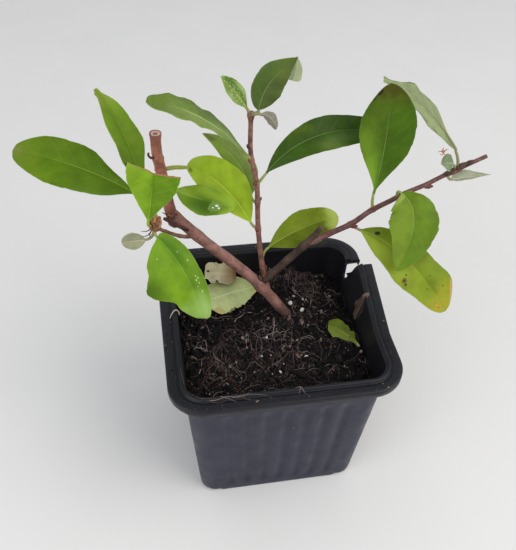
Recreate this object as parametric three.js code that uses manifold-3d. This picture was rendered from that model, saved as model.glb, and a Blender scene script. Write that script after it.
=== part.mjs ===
// A potted autumn olive: a young plant cut back hard, in a 9 cm square nursery pot.
// Millimetres, +Z up. The origin is the centre of the pot's flat underside, and the
// pot's sides lie along X and Y. The plant leans from the middle of the pot to -X.

import * as THREE from 'three';
import { mergeVertices } from 'three/addons/utils/BufferGeometryUtils.js';
import Module from 'manifold-3d';

const wasm = await Module();
wasm.setup();

// Driving dimensions of the pot
const RIM_HALF = 45;
const RIM_TOP = 74;
const STRAIGHT_HALF = 31.1;
const BASE_HALF = 33.7;
const BASE_CORNER = 6.5;
const WALL_TOP_HALF = 39.3;
const WALL_TOP = 71.2;
const WALL = 1.0;
const FLOOR = 2.0;
const SKIRT_DROP = 3.4;
const SKIRT = 0.8;
const BEAD_RISE = 0.6;
const GROOVES_PER_SIDE = 7;
const GROOVE_SPACING = 8;
const GROOVE_WIDTH = 4;
const GROOVE_DEPTH = 0.5;
const GROOVE_FROM = 4;
const GROOVE_TO = 60;
const DRAIN_HOLE_RADIUS = 3.5;
const DRAIN_HOLE_OFFSET = 18;
const CORNER_LIFT = 1.2;
const CORNER_LIFT_FROM = 25;

// The rim has split near its back right corner, and the right side sprang outwards there
const CRACK_Y = 26;
const CRACK_BOTTOM = 64;
const CRACK_WIDTH = 2.6;
const SPRING_OUT = 5;
const SPRING_FROM_Y = -17;
const SPRING_FROM_Z = 62;

// Driving dimensions of the soil
const SOIL_LEVEL = 59.5;
const SOIL_MOUND = 2.5;
const SOIL_MOUND_REACH = 18;
const SOIL_HOLLOW = 3;
const SOIL_BACK_RISE = 1.5;
const FOOT = new THREE.Vector2(9, 11.5);
const FOOT_LEVEL = 62;
const FOOT_FLAT = 9;

// Driving dimensions of the plant
const GAP = 0.36;
const BLADE_THICKNESS = 0.55;
const PETIOLE_HALF_WIDTH = 0.55;
const TIP_HALF_WIDTH = 0.3;
const LIMB_SIDES = 10;
const ACROSS = [-1, -0.5, 0, 0.5, 1];

// Each limb is one tapering tube through a few places on its axis
const LIMBS = {
  main_stem: {
    path: [[9, 11.5, 61], [-2, 14, 76], [-11, 16, 85.5], [-25, 19.5, 98.5], [-37, 22, 112]],
    radius: [3.0, 2.6], flare: 0.3, rings: 14, colour: 0x6e4a44,
  },
  pruned_stub: {
    path: [[-35, 22, 108.5], [-36.5, 23, 113.5], [-38, 24, 120.5], [-40, 26, 129], [-41, 28, 136],
      [-41, 30, 143]],
    radius: [2.3, 1.9], flare: 0.1, rings: 10, colour: 0x8a4a38,
  },
  split_sliver: {
    path: [[-29.5, 20.5, 104], [-32.2, 19, 106], [-36.3, 18.4, 109], [-40.5, 19, 112]],
    radius: [0.9, 0.55], flare: 0.4, rings: 5, colour: 0x4a2c26,
  },
  side_twig: {
    path: [[-27.8, 20, 101.5], [-33, 17.5, 103.5], [-38.5, 16, 107], [-44.5, 14, 112.5]],
    radius: [1.05, 0.9], flare: 0.3, rings: 7, colour: 0x7a4a3c,
  },
  middle_shoot: {
    path: [[0.3, 14, 75], [-0.7, 15, 80], [-2.5, 15.5, 90.5], [-4, 17, 105.5], [-4.5, 18, 118.5],
      [-5, 18.5, 126], [-6.5, 19, 133.5], [-7.5, 20, 140.5], [-7.5, 21, 154.5]],
    radius: [1.5, 0.9], flare: 0.35, rings: 18, colour: 0x7a4634,
  },
  right_bough: {
    path: [[0.5, 13.5, 75], [3, 13.7, 82.5], [7.5, 13.5, 89.5], [14.5, 13, 98], [20.5, 12.5, 106.5]],
    radius: [1.8, 1.5], flare: 0.25, rings: 9, colour: 0x554338,
  },
  right_shoot: {
    path: [[14, 13, 97.4], [22.5, 12.5, 102.5], [32, 12, 107.5], [39.5, 13, 112.5], [47.5, 14, 116],
      [53.5, 14.5, 119], [61.5, 16, 121], [71.5, 17.5, 125], [86, 19, 130.5]],
    radius: [1.2, 0.8], flare: 0.1, rings: 18, colour: 0x7a3f34,
  },
};

// A knob of scaly buds ends the side twig, and five leaves grow from it
const KNOB = { centre: [-44.8, 14, 113], radii: [3.1, 2.9, 3.9], colour: 0x7d5a36 };

// Each leaf grows from a place on its limb. Its midrib bends through neck, middle and tip.
// face is the way its upper side looks, and fold lifts its two halves, in degrees.
const PLAIN_LEAF = {
  fold: [12, 12], cup: -10, wave: 0.6, waves: 2.5, widest: 0.5, base: 0.9, point: 0.7,
  left: 1, right: 1, stations: 9, colour: 0x5f8a24,
};
const LEAVES = {
  leaf_left_long: {
    on: 'bud_cluster', neck: [-49.5, 14, 126], middle: [-69.5, 19, 138], tip: [-90.5, 24, 143],
    face: [-0.1, -0.45, 0.9], width: 20, widest: 0.56, base: 1.25, point: 0.55, right: 0.95,
  },
  leaf_upper_left: {
    on: 'bud_cluster', neck: [-47.5, 19.5, 128.5], middle: [-52, 21.5, 148], tip: [-60, 26, 163.5],
    face: [0.55, -0.6, 0.6], width: 15, fold: [25, 25], widest: 0.45, base: 0.8, point: 1.15, right: 0.75,
  },
  leaf_cut_across: {
    on: 'bud_cluster', neck: [-46.5, 11, 116.5], middle: [-43, 7.5, 141.5], tip: [-41, 4, 161.5],
    face: [-0.05, -0.8, 0.55], width: 24, cut: [0.66, 0.48, 0.57], fold: [28, 28], widest: 0.55,
    base: 1.2, left: 0.8, right: 0.85, colour: 0x7ea62c,
  },
  leaf_lower_left: {
    on: 'bud_cluster', neck: [-43.5, 11, 109.5], middle: [-35, 0, 101.5], tip: [-28, -8, 83],
    face: [-0.2, -0.8, 0.5], width: 21, fold: [42, 2], widest: 0.45, point: 0.45, left: 0.85,
    right: 1.1, lobe: { at: 0.52, width: 6, lift: 3, spread: 0.17 }, colour: 0x6f9c2a,
  },
  leaf_small_grey: {
    on: 'bud_cluster', neck: [-49, 13.2, 107], middle: [-53.5, 14, 106], tip: [-58, 15, 105.5],
    face: [0, -0.8, 0.5], width: 6, wave: 0.2, stations: 5, colour: 0x8f9a80,
  },
  leaf_edge_on: {
    on: 'pruned_stub', at: 0.62, neck: [-38, 26, 130], middle: [-34, 26.5, 129.5],
    tip: [-31, 26.5, 129.2],
    face: [0, 0.3, 1], width: 5, wave: 0.2, stations: 5, colour: 0x7f8a3c,
  },
  leaf_long_arching: {
    on: 'middle_shoot', at: 0.79, neck: [-8.5, 19, 138], middle: [-25.5, 16, 156],
    tip: [-43.5, 14, 164.5],
    face: [0.15, -0.05, 1], width: 16, widest: 0.6, base: 1, point: 0.5, right: 0.8, colour: 0x6c8a4c,
  },
  leaf_behind: {
    on: 'middle_shoot', at: 0.485, neck: [-6, 23.6, 116.6], middle: [-10.5, 33.5, 126.1],
    tip: [-22.9, 38.5, 136.3],
    face: [0.2, -0.6, 0.7], width: 14, left: 0.65, right: 0.8, colour: 0x55742c,
  },
  leaf_yellow_green: {
    on: 'middle_shoot', at: 0.37, neck: [-7, 17.5, 108], middle: [-17, 23.6, 121.6], tip: [-30, 29, 129],
    face: [-0.1, -0.6, 0.8], width: 17, fold: [12, 28], point: 0.5, left: 0.85, colour: 0x86a52c,
  },
  leaf_spoon: {
    on: 'pruned_stub', at: 0.5, neck: [-35.5, 21, 124], middle: [-26.5, 17.5, 121],
    tip: [-17.5, 13.5, 118.5],
    face: [0, -0.5, 0.8], width: 12, widest: 0.6, base: 1, point: 0.5, stations: 7, colour: 0x5d8c2c,
  },
  leaf_silvery: {
    on: 'middle_shoot', at: 0.95, neck: [-9, 21.3, 156], middle: [-13, 21, 162.5], tip: [-18, 20, 169],
    face: [0.1, -0.7, 0.6], width: 6.5, wave: 0.3, stations: 6, colour: 0x8fae62,
  },
  leaf_top: {
    on: 'middle_shoot', at: 0.965, neck: [-5.3, 21.7, 156], middle: [0, 24, 163.5], tip: [9.5, 27, 171],
    face: [0.2, -0.8, 0.5], width: 14, widest: 0.6, point: 0.8, left: 0.95, right: 0.8, colour: 0x486524,
    flap: {
      neck: [8.8, 27.2, 171.2], middle: [10.3, 28.6, 166], tip: [8.7, 28, 161.5],
      face: [-0.2, 0.7, -0.4], width: 5, widest: 0.5, base: 0.6, point: 0.6, wave: 0.2, stations: 5,
    },
  },
  leaf_tiny_taupe: {
    on: 'middle_shoot', at: 0.93, neck: [-4.3, 18.3, 155], middle: [-1.1, 17.3, 153.6],
    tip: [0.7, 16, 149.8],
    face: [0.3, -0.5, 0.8], width: 5, wave: 0.2, stations: 5, colour: 0x8c8878,
  },
  leaf_dark_right: {
    on: 'middle_shoot', at: 0.61, neck: [-1.5, 18, 130.5], middle: [15.5, 22, 143], tip: [39.5, 27, 139.5],
    face: [0, -0.6, 0.8], width: 17, left: 0.8, colour: 0x3d5c18,
  },
  leaf_low_right: {
    on: 'middle_shoot', at: 0.2, neck: [1, 18, 94], middle: [16, 23.5, 98],
    tip: [31.5, 26, 100.5],
    face: [0, -0.5, 0.85], width: 17, widest: 0.55, point: 0.5, left: 0.85, colour: 0x7ea02c,
  },
  leaf_upright: {
    on: 'right_shoot', at: 0.394, neck: [40, 13.5, 120.5], middle: [42, 16, 142.5], tip: [40, 20, 163.5],
    face: [-0.1, -0.75, 0.6], width: 21, widest: 0.6, base: 1.4, point: 0.6, colour: 0x567d14,
  },
  leaf_arched_underside: {
    on: 'right_shoot', at: 0.903, neck: [71.5, 18.5, 135], middle: [57.5, 21, 153.5], tip: [40.5, 24, 163],
    face: [-0.5, 0.3, -0.6], width: 11.5, colour: 0x9fae78,
  },
  leaf_rounded_pale: {
    on: 'right_shoot', at: 0.885, neck: [71.8, 17, 129], middle: [69, 16.4, 130.4], tip: [66, 15.5, 130.8],
    face: [0, -0.7, 0.7], width: 7, wave: 0.2, stations: 5, colour: 0x82a582,
  },
  leaf_narrow_pale: {
    on: 'right_shoot', at: 0.865, neck: [71.8, 15.5, 123.2], middle: [79, 15.5, 123.6],
    tip: [88.5, 16.5, 123.5],
    face: [0, -0.5, 0.8], width: 4, wave: 0.2, stations: 6, colour: 0xa5b58c,
  },
  leaf_folded: {
    on: 'right_shoot', at: 0.56, neck: [49.5, 11, 121.5], middle: [52.5, 2.5, 113], tip: [46, -8, 99],
    face: [0.2, -0.8, 0.5], width: 19, fold: [20, 20], base: 0.55, right: 1.15, colour: 0x628c28,
  },
  leaf_drooping: {
    on: 'right_shoot', at: 0.25, neck: [36.5, 12.3, 104], middle: [52.5, -1, 98], tip: [68, -14, 80],
    face: [0.1, -0.6, 0.8], width: 21, fold: [15, 15], wave: 1, widest: 0.55, point: 0.5, colour: 0x82961e,
  },
};

// Fallen leaves lie loose on the soil, each a little above it
const LITTER = {
  litter_pale_leaf: {
    neck: [0, 27.5, 62.9], middle: [-12.5, 25.5, 62.9], tip: [-25, 22, 63.1],
    face: [0, 0.1, -1], width: 18, fold: [4, 4], cup: -4, widest: 0.6, wave: 0.3, colour: 0x9dab76,
  },
  litter_torn_piece: {
    neck: [-10, 34.2, 66], middle: [-17, 33.4, 67.6], tip: [-24, 32.9, 68.5],
    face: [0, 0.55, -0.8], width: 9, stations: 6, wave: 0.3, colour: 0xa39c72,
  },
  litter_green_leaf: {
    neck: [35.5, -11, 60.4], middle: [31, -3, 60.9], tip: [25, 1, 61.9],
    face: [0, -0.1, 1], width: 8, stations: 7, wave: 0.3, colour: 0x658a2c,
  },
  dry_flake: {
    neck: [35.8, 6, 59.5], middle: [36.4, 7, 67], tip: [39, 8.5, 73],
    face: [-0.9, -0.3, 0.3], width: 5, wave: 0.4, stations: 5, colour: 0x5f4136,
  },
};

const vector = (place) => new THREE.Vector3(...place);
const clamp = THREE.MathUtils.clamp;
const lerp = THREE.MathUtils.lerp;
const radians = THREE.MathUtils.degToRad;

// A closed skin over rings of equal count, with a fan at each end
function loft(rings) {
  const count = rings[0].length;
  const positions = rings.flat().flatMap((p) => [p.x, p.y, p.z]);
  const index = [];
  for (let r = 0; r + 1 < rings.length; r += 1) {
    for (let i = 0; i < count; i += 1) {
      const a = r * count + i;
      const b = r * count + ((i + 1) % count);
      index.push(a, b, b + count, a, b + count, a + count);
    }
  }
  const closeEnd = (start, flip) => {
    const centre = new THREE.Vector3();
    const ring = start === 0 ? rings[0] : rings[rings.length - 1];
    ring.forEach((p) => centre.add(p));
    centre.divideScalar(count);
    const hub = positions.length / 3;
    positions.push(centre.x, centre.y, centre.z);
    for (let i = 0; i < count; i += 1) {
      const a = start + i;
      const b = start + ((i + 1) % count);
      index.push(hub, ...(flip ? [b, a] : [a, b]));
    }
  };
  closeEnd(0, true);
  closeEnd((rings.length - 1) * count, false);
  const geometry = new THREE.BufferGeometry();
  geometry.setAttribute('position', new THREE.Float32BufferAttribute(positions, 3));
  geometry.setIndex(index);
  return geometry;
}

function toSolid(geometry) {
  const bare = geometry.clone();
  bare.deleteAttribute('normal');
  bare.deleteAttribute('uv');
  const merged = mergeVertices(bare, 1e-4);
  const solid = new wasm.Manifold(new wasm.Mesh({
    numProp: 3,
    vertProperties: Float32Array.from(merged.attributes.position.array),
    triVerts: Uint32Array.from(merged.index.array),
  }));
  return solid.volume() < 0 ? toSolid(turnedOut(merged)) : solid;
}

function turnedOut(geometry) {
  const index = Array.from(geometry.index.array);
  for (let i = 0; i < index.length; i += 3) {
    [index[i], index[i + 1]] = [index[i + 1], index[i]];
  }
  const turned = geometry.clone();
  turned.setIndex(index);
  return turned;
}

function toGeometry(solid) {
  const mesh = solid.getMesh();
  const geometry = new THREE.BufferGeometry();
  const position = new THREE.BufferAttribute(Float32Array.from(mesh.vertProperties), 3);
  geometry.setAttribute('position', position);
  geometry.setIndex(new THREE.BufferAttribute(Uint32Array.from(mesh.triVerts), 1));
  return geometry;
}

// A square ring with round corners, seen from above, anticlockwise from the right side.
// Its right side has extra points where the rim bends and splits.
const CORNER_STEPS = 4;
const CRACK_AT = CRACK_Y / STRAIGHT_HALF;
const RIGHT_SIDE = [-1, SPRING_FROM_Y / STRAIGHT_HALF, -0.2, 0.15, 0.5, CRACK_AT - 0.002,
  CRACK_AT + 0.002, 1];
function squareRing(half, corner, z) {
  const straight = half - corner;
  const points = [];
  for (let side = 0; side < 4; side += 1) {
    const turn = new THREE.Matrix4().makeRotationZ((side * Math.PI) / 2);
    const along = side === 0 ? RIGHT_SIDE : [-1, 1];
    const flat = along.map((f) => new THREE.Vector3(half, f * straight, z));
    const round = [];
    for (let k = 1; k < CORNER_STEPS; k += 1) {
      const angle = (k / CORNER_STEPS) * (Math.PI / 2);
      const x = straight + corner * Math.cos(angle);
      const y = straight + corner * Math.sin(angle);
      round.push(new THREE.Vector3(x, y, z));
    }
    points.push(...[...flat, ...round].map((p) => p.applyMatrix4(turn)));
  }
  return points;
}

// The outside of the wall leans out evenly from the base to the rim
function wallHalf(z) {
  return lerp(BASE_HALF, WALL_TOP_HALF, z / WALL_TOP);
}

function wallCorner(z) {
  const free = clamp(z / SPRING_FROM_Z, 0, 1);
  return lerp(BASE_CORNER, wallHalf(SPRING_FROM_Z) - STRAIGHT_HALF, free);
}

function sprung(point) {
  const along = clamp((point.y - SPRING_FROM_Y) / (CRACK_Y - SPRING_FROM_Y), 0, 1);
  const up = clamp((point.z - SPRING_FROM_Z) / (RIM_TOP - SPRING_FROM_Z), 0, 1);
  const onRightSide = point.x > BASE_HALF && point.y < CRACK_Y;
  return onRightSide ? point.setX(point.x + SPRING_OUT * along * up) : point;
}

function prism(corners, rise) {
  return toSolid(loft([corners, corners.map((p) => p.clone().add(rise))]));
}

// V grooves down each side of the pot, between its smooth corners
function grooves() {
  const cuts = [];
  for (let side = 0; side < 4; side += 1) {
    for (let n = 0; n < GROOVES_PER_SIDE; n += 1) {
      const offset = (n - (GROOVES_PER_SIDE - 1) / 2) * GROOVE_SPACING;
      const ends = [GROOVE_FROM, GROOVE_TO].map((z) => {
        const half = wallHalf(z);
        const middle = (offset * half) / WALL_TOP_HALF;
        return [
          new THREE.Vector3(half + GAP, middle - GROOVE_WIDTH / 2, z),
          new THREE.Vector3(half + GAP, middle + GROOVE_WIDTH / 2, z),
          new THREE.Vector3(half - GROOVE_DEPTH, middle, z),
        ];
      });
      const cut = loft(ends);
      cut.rotateZ((side * Math.PI) / 2);
      cuts.push(toSolid(cut));
    }
  }
  return cuts;
}

function drainHoles() {
  const cuts = [];
  for (const x of [-1, 1]) {
    for (const y of [-1, 1]) {
      const hole = new THREE.CylinderGeometry(DRAIN_HOLE_RADIUS, DRAIN_HOLE_RADIUS, 3 * FLOOR, 10);
      hole.rotateX(Math.PI / 2);
      hole.translate(x * DRAIN_HOLE_OFFSET, y * DRAIN_HOLE_OFFSET, FLOOR / 2);
      cuts.push(toSolid(hole));
    }
  }
  return cuts;
}

// The pot stands on the middle of its sides: its four corners are cut up a little
function cornerLifts() {
  const size = BASE_HALF;
  return [[1, 1], [1, -1], [-1, 1], [-1, -1]].map(([x, y]) => {
    const block = new THREE.BoxGeometry(size, size, CORNER_LIFT * 2);
    block.translate(x * (CORNER_LIFT_FROM + size / 2), y * (CORNER_LIFT_FROM + size / 2), 0);
    return toSolid(block);
  });
}

function crack() {
  const top = RIM_TOP + 2;
  const near = WALL_TOP_HALF - 8;
  const triangle = [
    new THREE.Vector3(near, CRACK_Y, CRACK_BOTTOM),
    new THREE.Vector3(near, CRACK_Y + CRACK_WIDTH / 2, top),
    new THREE.Vector3(near, CRACK_Y - CRACK_WIDTH / 2, top),
  ];
  return prism(triangle, new THREE.Vector3(RIM_HALF, 0, 0));
}

function potGeometry() {
  const rim = (half, z) => squareRing(half, half - STRAIGHT_HALF, z);
  const wall = (inset, z) => squareRing(wallHalf(z) - inset, wallCorner(z) - inset, z);
  const rings = [
    squareRing(BASE_HALF - 0.7, BASE_CORNER - 0.7, 0),
    wall(0, 0.8),
    wall(0, SPRING_FROM_Z),
    rim(WALL_TOP_HALF, WALL_TOP),
    rim(RIM_HALF - SKIRT, WALL_TOP + SKIRT),
    rim(RIM_HALF - SKIRT, RIM_TOP - SKIRT_DROP),
    rim(RIM_HALF, RIM_TOP - SKIRT_DROP),
    rim(RIM_HALF, RIM_TOP - 0.8),
    rim(RIM_HALF - 0.5, RIM_TOP - 0.3),
    rim(WALL_TOP_HALF + 1.2, RIM_TOP),
    rim(WALL_TOP_HALF + 0.8, RIM_TOP + BEAD_RISE),
    rim(WALL_TOP_HALF, RIM_TOP + BEAD_RISE),
    rim(WALL_TOP_HALF - WALL, RIM_TOP - 0.4),
    rim(WALL_TOP_HALF - WALL, WALL_TOP),
    wall(WALL, SPRING_FROM_Z),
    wall(WALL, FLOOR + 1),
    squareRing(BASE_HALF - 2.4, BASE_CORNER - 2, FLOOR),
  ].map((ring) => ring.map(sprung));
  let pot = toSolid(loft(rings));
  for (const cut of [...grooves(), ...drainHoles(), ...cornerLifts(), crack()]) {
    pot = pot.subtract(cut);
  }
  return toGeometry(pot);
}

// The soil lies uneven, highest round the stem and lowest in the back right corner
function soilHeight(x, y) {
  const fromFoot = Math.hypot(x - FOOT.x, y - FOOT.y);
  const mound = SOIL_MOUND * Math.exp(-((fromFoot / SOIL_MOUND_REACH) ** 2));
  const hollow = SOIL_HOLLOW * clamp((x + y - 30) / 40, 0, 1);
  const broad = 0.6 * Math.sin(x * 0.31 + 1.2) * Math.cos(y * 0.27 - 0.4);
  const lumps = broad + 0.35 * Math.sin(x * 0.83 - y * 0.71);
  const flat = clamp((fromFoot - FOOT_FLAT) / FOOT_FLAT, 0, 1);
  const backRise = SOIL_BACK_RISE * clamp((y - x - 20) / 30, 0, 1);
  return lerp(FOOT_LEVEL, SOIL_LEVEL + mound + backRise - hollow + lumps, flat);
}

function soilGeometry() {
  const inset = WALL + GAP;
  const edge = (z) => squareRing(wallHalf(z) - inset, wallCorner(z) - inset, z);
  const rings = [edge(FLOOR + 1 + GAP), edge(SOIL_LEVEL - 4)];
  const brim = edge(SOIL_LEVEL - 4);
  for (const scale of [1, 0.86, 0.72, 0.58, 0.44, 0.3, 0.16]) {
    rings.push(brim.map((p) => {
      const x = p.x * scale + FOOT.x * (1 - scale);
      const y = p.y * scale + FOOT.y * (1 - scale);
      return new THREE.Vector3(x, y, soilHeight(x, y));
    }));
  }
  return toGeometry(toSolid(loft(rings)));
}

function limbCurve(name) {
  return new THREE.CatmullRomCurve3(LIMBS[name].path.map(vector), false, 'catmullrom', 0.5);
}

// A tapering limb: rings square to its axis, carried along without twist
function limbSolid(name, grow = 0) {
  const limb = LIMBS[name];
  const curve = limbCurve(name);
  const rings = [];
  let side = new THREE.Vector3(0.2, 1, 0.1);
  for (let k = 0; k <= limb.rings; k += 1) {
    const t = k / limb.rings;
    const centre = curve.getPoint(t);
    const tangent = curve.getTangent(t);
    const endGrowth = k === 0 ? -grow : (k === limb.rings ? grow : 0);
    centre.addScaledVector(tangent, endGrowth);
    side = side.addScaledVector(tangent, -side.dot(tangent)).normalize();
    const up = new THREE.Vector3().crossVectors(tangent, side);
    const flare = 1 + limb.flare * Math.exp(-t * 12);
    const radius = lerp(...limb.radius, t) * flare + grow;
    const ring = [];
    for (let i = 0; i < LIMB_SIDES; i += 1) {
      const angle = (i / LIMB_SIDES) * Math.PI * 2;
      const point = centre.clone();
      point.addScaledVector(side, Math.cos(angle) * radius);
      point.addScaledVector(up, Math.sin(angle) * radius);
      ring.push(point);
    }
    rings.push(ring);
  }
  return toSolid(loft(rings));
}

function knobSolid(grow = 0) {
  const ball = new THREE.SphereGeometry(1, 10, 7);
  ball.scale(...KNOB.radii.map((r) => r + grow));
  ball.translate(...KNOB.centre);
  return toSolid(ball);
}

// Everything under the soil's flat patch is taken off the stem's foot
function footCut() {
  const depth = 20;
  const block = new THREE.BoxGeometry(depth * 2, depth * 2, depth);
  block.translate(FOOT.x, FOOT.y, FOOT_LEVEL + GAP - depth / 2);
  return toSolid(block);
}

// Half the blade's width along its length, from 0 at the neck through 1 to 0 at the tip
function outline(leaf, u) {
  if (u < leaf.widest) {
    return Math.sin((Math.PI / 2) * (u / leaf.widest)) ** leaf.base;
  }
  const toTip = clamp((u - leaf.widest) / (1 - leaf.widest), 0, 1);
  return Math.max(Math.cos((Math.PI / 2) * toTip), 0) ** leaf.point;
}

function midrib(leaf, u) {
  const neck = vector(leaf.neck);
  const tip = vector(leaf.tip);
  const bend = vector(leaf.middle).multiplyScalar(2);
  bend.addScaledVector(neck, -0.5).addScaledVector(tip, -0.5);
  const curve = new THREE.QuadraticBezierCurve3(neck, bend, tip);
  const centre = curve.getPoint(u);
  const tangent = curve.getTangent(u);
  const normal = vector(leaf.face).normalize();
  normal.addScaledVector(tangent, -normal.dot(tangent)).normalize();
  const side = new THREE.Vector3().crossVectors(tangent, normal);
  return { centre, tangent, normal, side };
}

// A place on the blade: u runs from neck to tip, v from the left margin to the right one
function bladePoint(leaf, along, v) {
  const right = v > 0;
  const out = Math.abs(v);
  const end = leaf.cut ? lerp(leaf.cut[1], leaf.cut[right ? 2 : 0], out) : 1;
  const u = along * end;
  const { centre, normal, side } = midrib(leaf, u);
  const shape = outline(leaf, u);
  const lobe = leaf.lobe && right ? Math.exp(-(((u - leaf.lobe.at) / leaf.lobe.spread) ** 2)) : 0;
  let half = (leaf.width / 2) * shape * (right ? leaf.right : leaf.left);
  half += lobe ? leaf.lobe.width * lobe : 0;
  half = Math.max(half, along < 0.5 ? PETIOLE_HALF_WIDTH : TIP_HALF_WIDTH);
  const fold = radians(leaf.fold[right ? 1 : 0] + (leaf.cup * out) / 2);
  const ripple = leaf.wave * Math.sin(2 * Math.PI * leaf.waves * u + (right ? 2 : 0)) * out * out * shape;
  const lift = lobe ? leaf.lobe.lift * lobe * out * out : 0;
  const point = centre.clone();
  point.addScaledVector(side, (right ? 1 : -1) * half * out * Math.cos(fold));
  point.addScaledVector(normal, half * out * Math.sin(fold) + lift + ripple);
  const square = normal.clone().multiplyScalar(Math.cos(fold));
  square.addScaledVector(side, v === 0 ? 0 : (right ? -1 : 1) * Math.sin(fold));
  return { point, square };
}

function bladeRing(leaf, along) {
  const places = ACROSS.map((v) => bladePoint(leaf, along, v));
  const shift = BLADE_THICKNESS / 2;
  const above = places.map(({ point, square }) => point.clone().addScaledVector(square, shift));
  const below = places.map(({ point, square }) => point.clone().addScaledVector(square, -shift));
  return [...above, ...below.reverse()];
}

// The stalk runs from the limb's axis into the neck of the blade
function stalkRings(leaf, from) {
  const { centre, tangent, normal } = midrib(leaf, 0);
  const reach = from.distanceTo(centre);
  const handle = centre.clone().addScaledVector(tangent, -reach / 2);
  const curve = new THREE.QuadraticBezierCurve3(from, handle, centre);
  return [0, 0.35, 0.7].map((t) => {
    const middle = curve.getPoint(t);
    const along = curve.getTangent(t);
    const up = normal.clone().addScaledVector(along, -normal.dot(along)).normalize();
    const side = new THREE.Vector3().crossVectors(along, up);
    const row = (sign) => ACROSS.map((v) => {
      const height = sign * (0.12 + 0.42 * Math.sqrt(1 - v * v));
      return middle.clone().addScaledVector(side, v * PETIOLE_HALF_WIDTH).addScaledVector(up, height);
    });
    return [...row(1), ...row(-1).reverse()];
  });
}

function leafSolid(given, from) {
  const leaf = { ...PLAIN_LEAF, ...given };
  const rings = from ? stalkRings(leaf, from) : [];
  for (let k = 0; k <= leaf.stations; k += 1) {
    rings.push(bladeRing(leaf, k / leaf.stations));
  }
  const solid = toSolid(loft(rings));
  return leaf.flap ? solid.add(leafSolid(leaf.flap)) : solid;
}

function grownLeaf(leaf) {
  if (leaf.on === 'bud_cluster') {
    return leafSolid(leaf, vector(KNOB.centre)).subtract(knobSolid(GAP));
  }
  return leafSolid(leaf, limbCurve(leaf.on).getPoint(leaf.at)).subtract(limbSolid(leaf.on, GAP));
}

const group = new THREE.Group();
group.name = 'potted_autumn_olive';

function addPart(name, geometry, colour, roughness = 0.7) {
  geometry.computeVertexNormals();
  const material = new THREE.MeshStandardMaterial({ color: colour, roughness, metalness: 0 });
  const mesh = new THREE.Mesh(geometry, material);
  mesh.name = name;
  group.add(mesh);
}

addPart('pot', potGeometry(), 0x2b2e33, 0.55);
addPart('soil', soilGeometry(), 0x1d1512, 0.95);

// What each limb is cut clear of at its foot
const CUT_BY = {
  pruned_stub: ['main_stem'],
  split_sliver: ['main_stem'],
  side_twig: ['main_stem'],
  middle_shoot: ['main_stem'],
  right_bough: ['main_stem', 'middle_shoot'],
  right_shoot: ['right_bough'],
};
for (const [name, limb] of Object.entries(LIMBS)) {
  let solid = limbSolid(name);
  for (const other of CUT_BY[name] ?? []) {
    solid = solid.subtract(limbSolid(other, GAP));
  }
  solid = name === 'main_stem' ? solid.subtract(footCut()) : solid;
  solid = name === 'side_twig' ? solid.subtract(knobSolid(GAP)) : solid;
  addPart(name, toGeometry(solid), limb.colour);
}
addPart('bud_cluster', toGeometry(knobSolid()), KNOB.colour, 0.9);

for (const [name, leaf] of Object.entries(LEAVES)) {
  addPart(name, toGeometry(grownLeaf(leaf)), leaf.colour ?? PLAIN_LEAF.colour, 0.5);
}
for (const [name, leaf] of Object.entries(LITTER)) {
  addPart(name, toGeometry(leafSolid(leaf)), leaf.colour, 0.7);
}

export default group;
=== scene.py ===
# %% [markdown]
# # A young autumn olive in its nursery pot
#
# The plant was cut back hard. One old stem leans to the left out of the soil and ends in a
# pruned stub, two thin shoots stand up from its foot, and a knob of buds carries a tuft of
# leaves. The solids give each limb and each leaf its place, so here every one of them gets a
# finer mesh in the same place, written in millimetres and scaled to metres at the end.

# %% Load the solids
import math

import bmesh
import bpy
import numpy as np
from mathutils import Matrix, Vector, noise


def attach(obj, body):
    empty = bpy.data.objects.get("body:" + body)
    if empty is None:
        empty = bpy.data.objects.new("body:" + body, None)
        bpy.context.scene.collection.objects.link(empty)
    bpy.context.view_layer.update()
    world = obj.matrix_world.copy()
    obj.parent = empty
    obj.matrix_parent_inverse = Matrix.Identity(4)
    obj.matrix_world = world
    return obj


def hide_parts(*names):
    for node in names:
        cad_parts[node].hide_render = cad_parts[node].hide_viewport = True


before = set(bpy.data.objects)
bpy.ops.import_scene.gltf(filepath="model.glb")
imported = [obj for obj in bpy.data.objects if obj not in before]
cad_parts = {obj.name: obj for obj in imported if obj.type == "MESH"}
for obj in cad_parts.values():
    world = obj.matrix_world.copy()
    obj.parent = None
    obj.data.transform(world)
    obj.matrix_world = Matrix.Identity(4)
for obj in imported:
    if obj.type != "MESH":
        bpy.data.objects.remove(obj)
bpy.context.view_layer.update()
MM = 0.001


def in_scene(name, data):
    """A new object with this data, linked into the scene."""
    made = bpy.data.objects.new(name, data)
    bpy.context.scene.collection.objects.link(made)
    return made



# %% [markdown]
# ## The camera
#
# The camera stands in front of the pot, a little to its left, and looks down at it steeply.
# It could be aimed with a constraint, but a matrix says exactly where its three axes point,
# and a small roll is part of the view.

# %% Place the camera
VIEW_AZIMUTH = -0.1964
VIEW_ELEVATION = 0.7475
VIEW_DISTANCE = 320.42
VIEW_ROLL = 0.0443
VIEW_TARGET = Vector((0.97, 38.03, 60.0))
FOCAL_PIXELS = 694.55
IMAGE_HEIGHT = 550
SENSOR = 36.0

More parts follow.
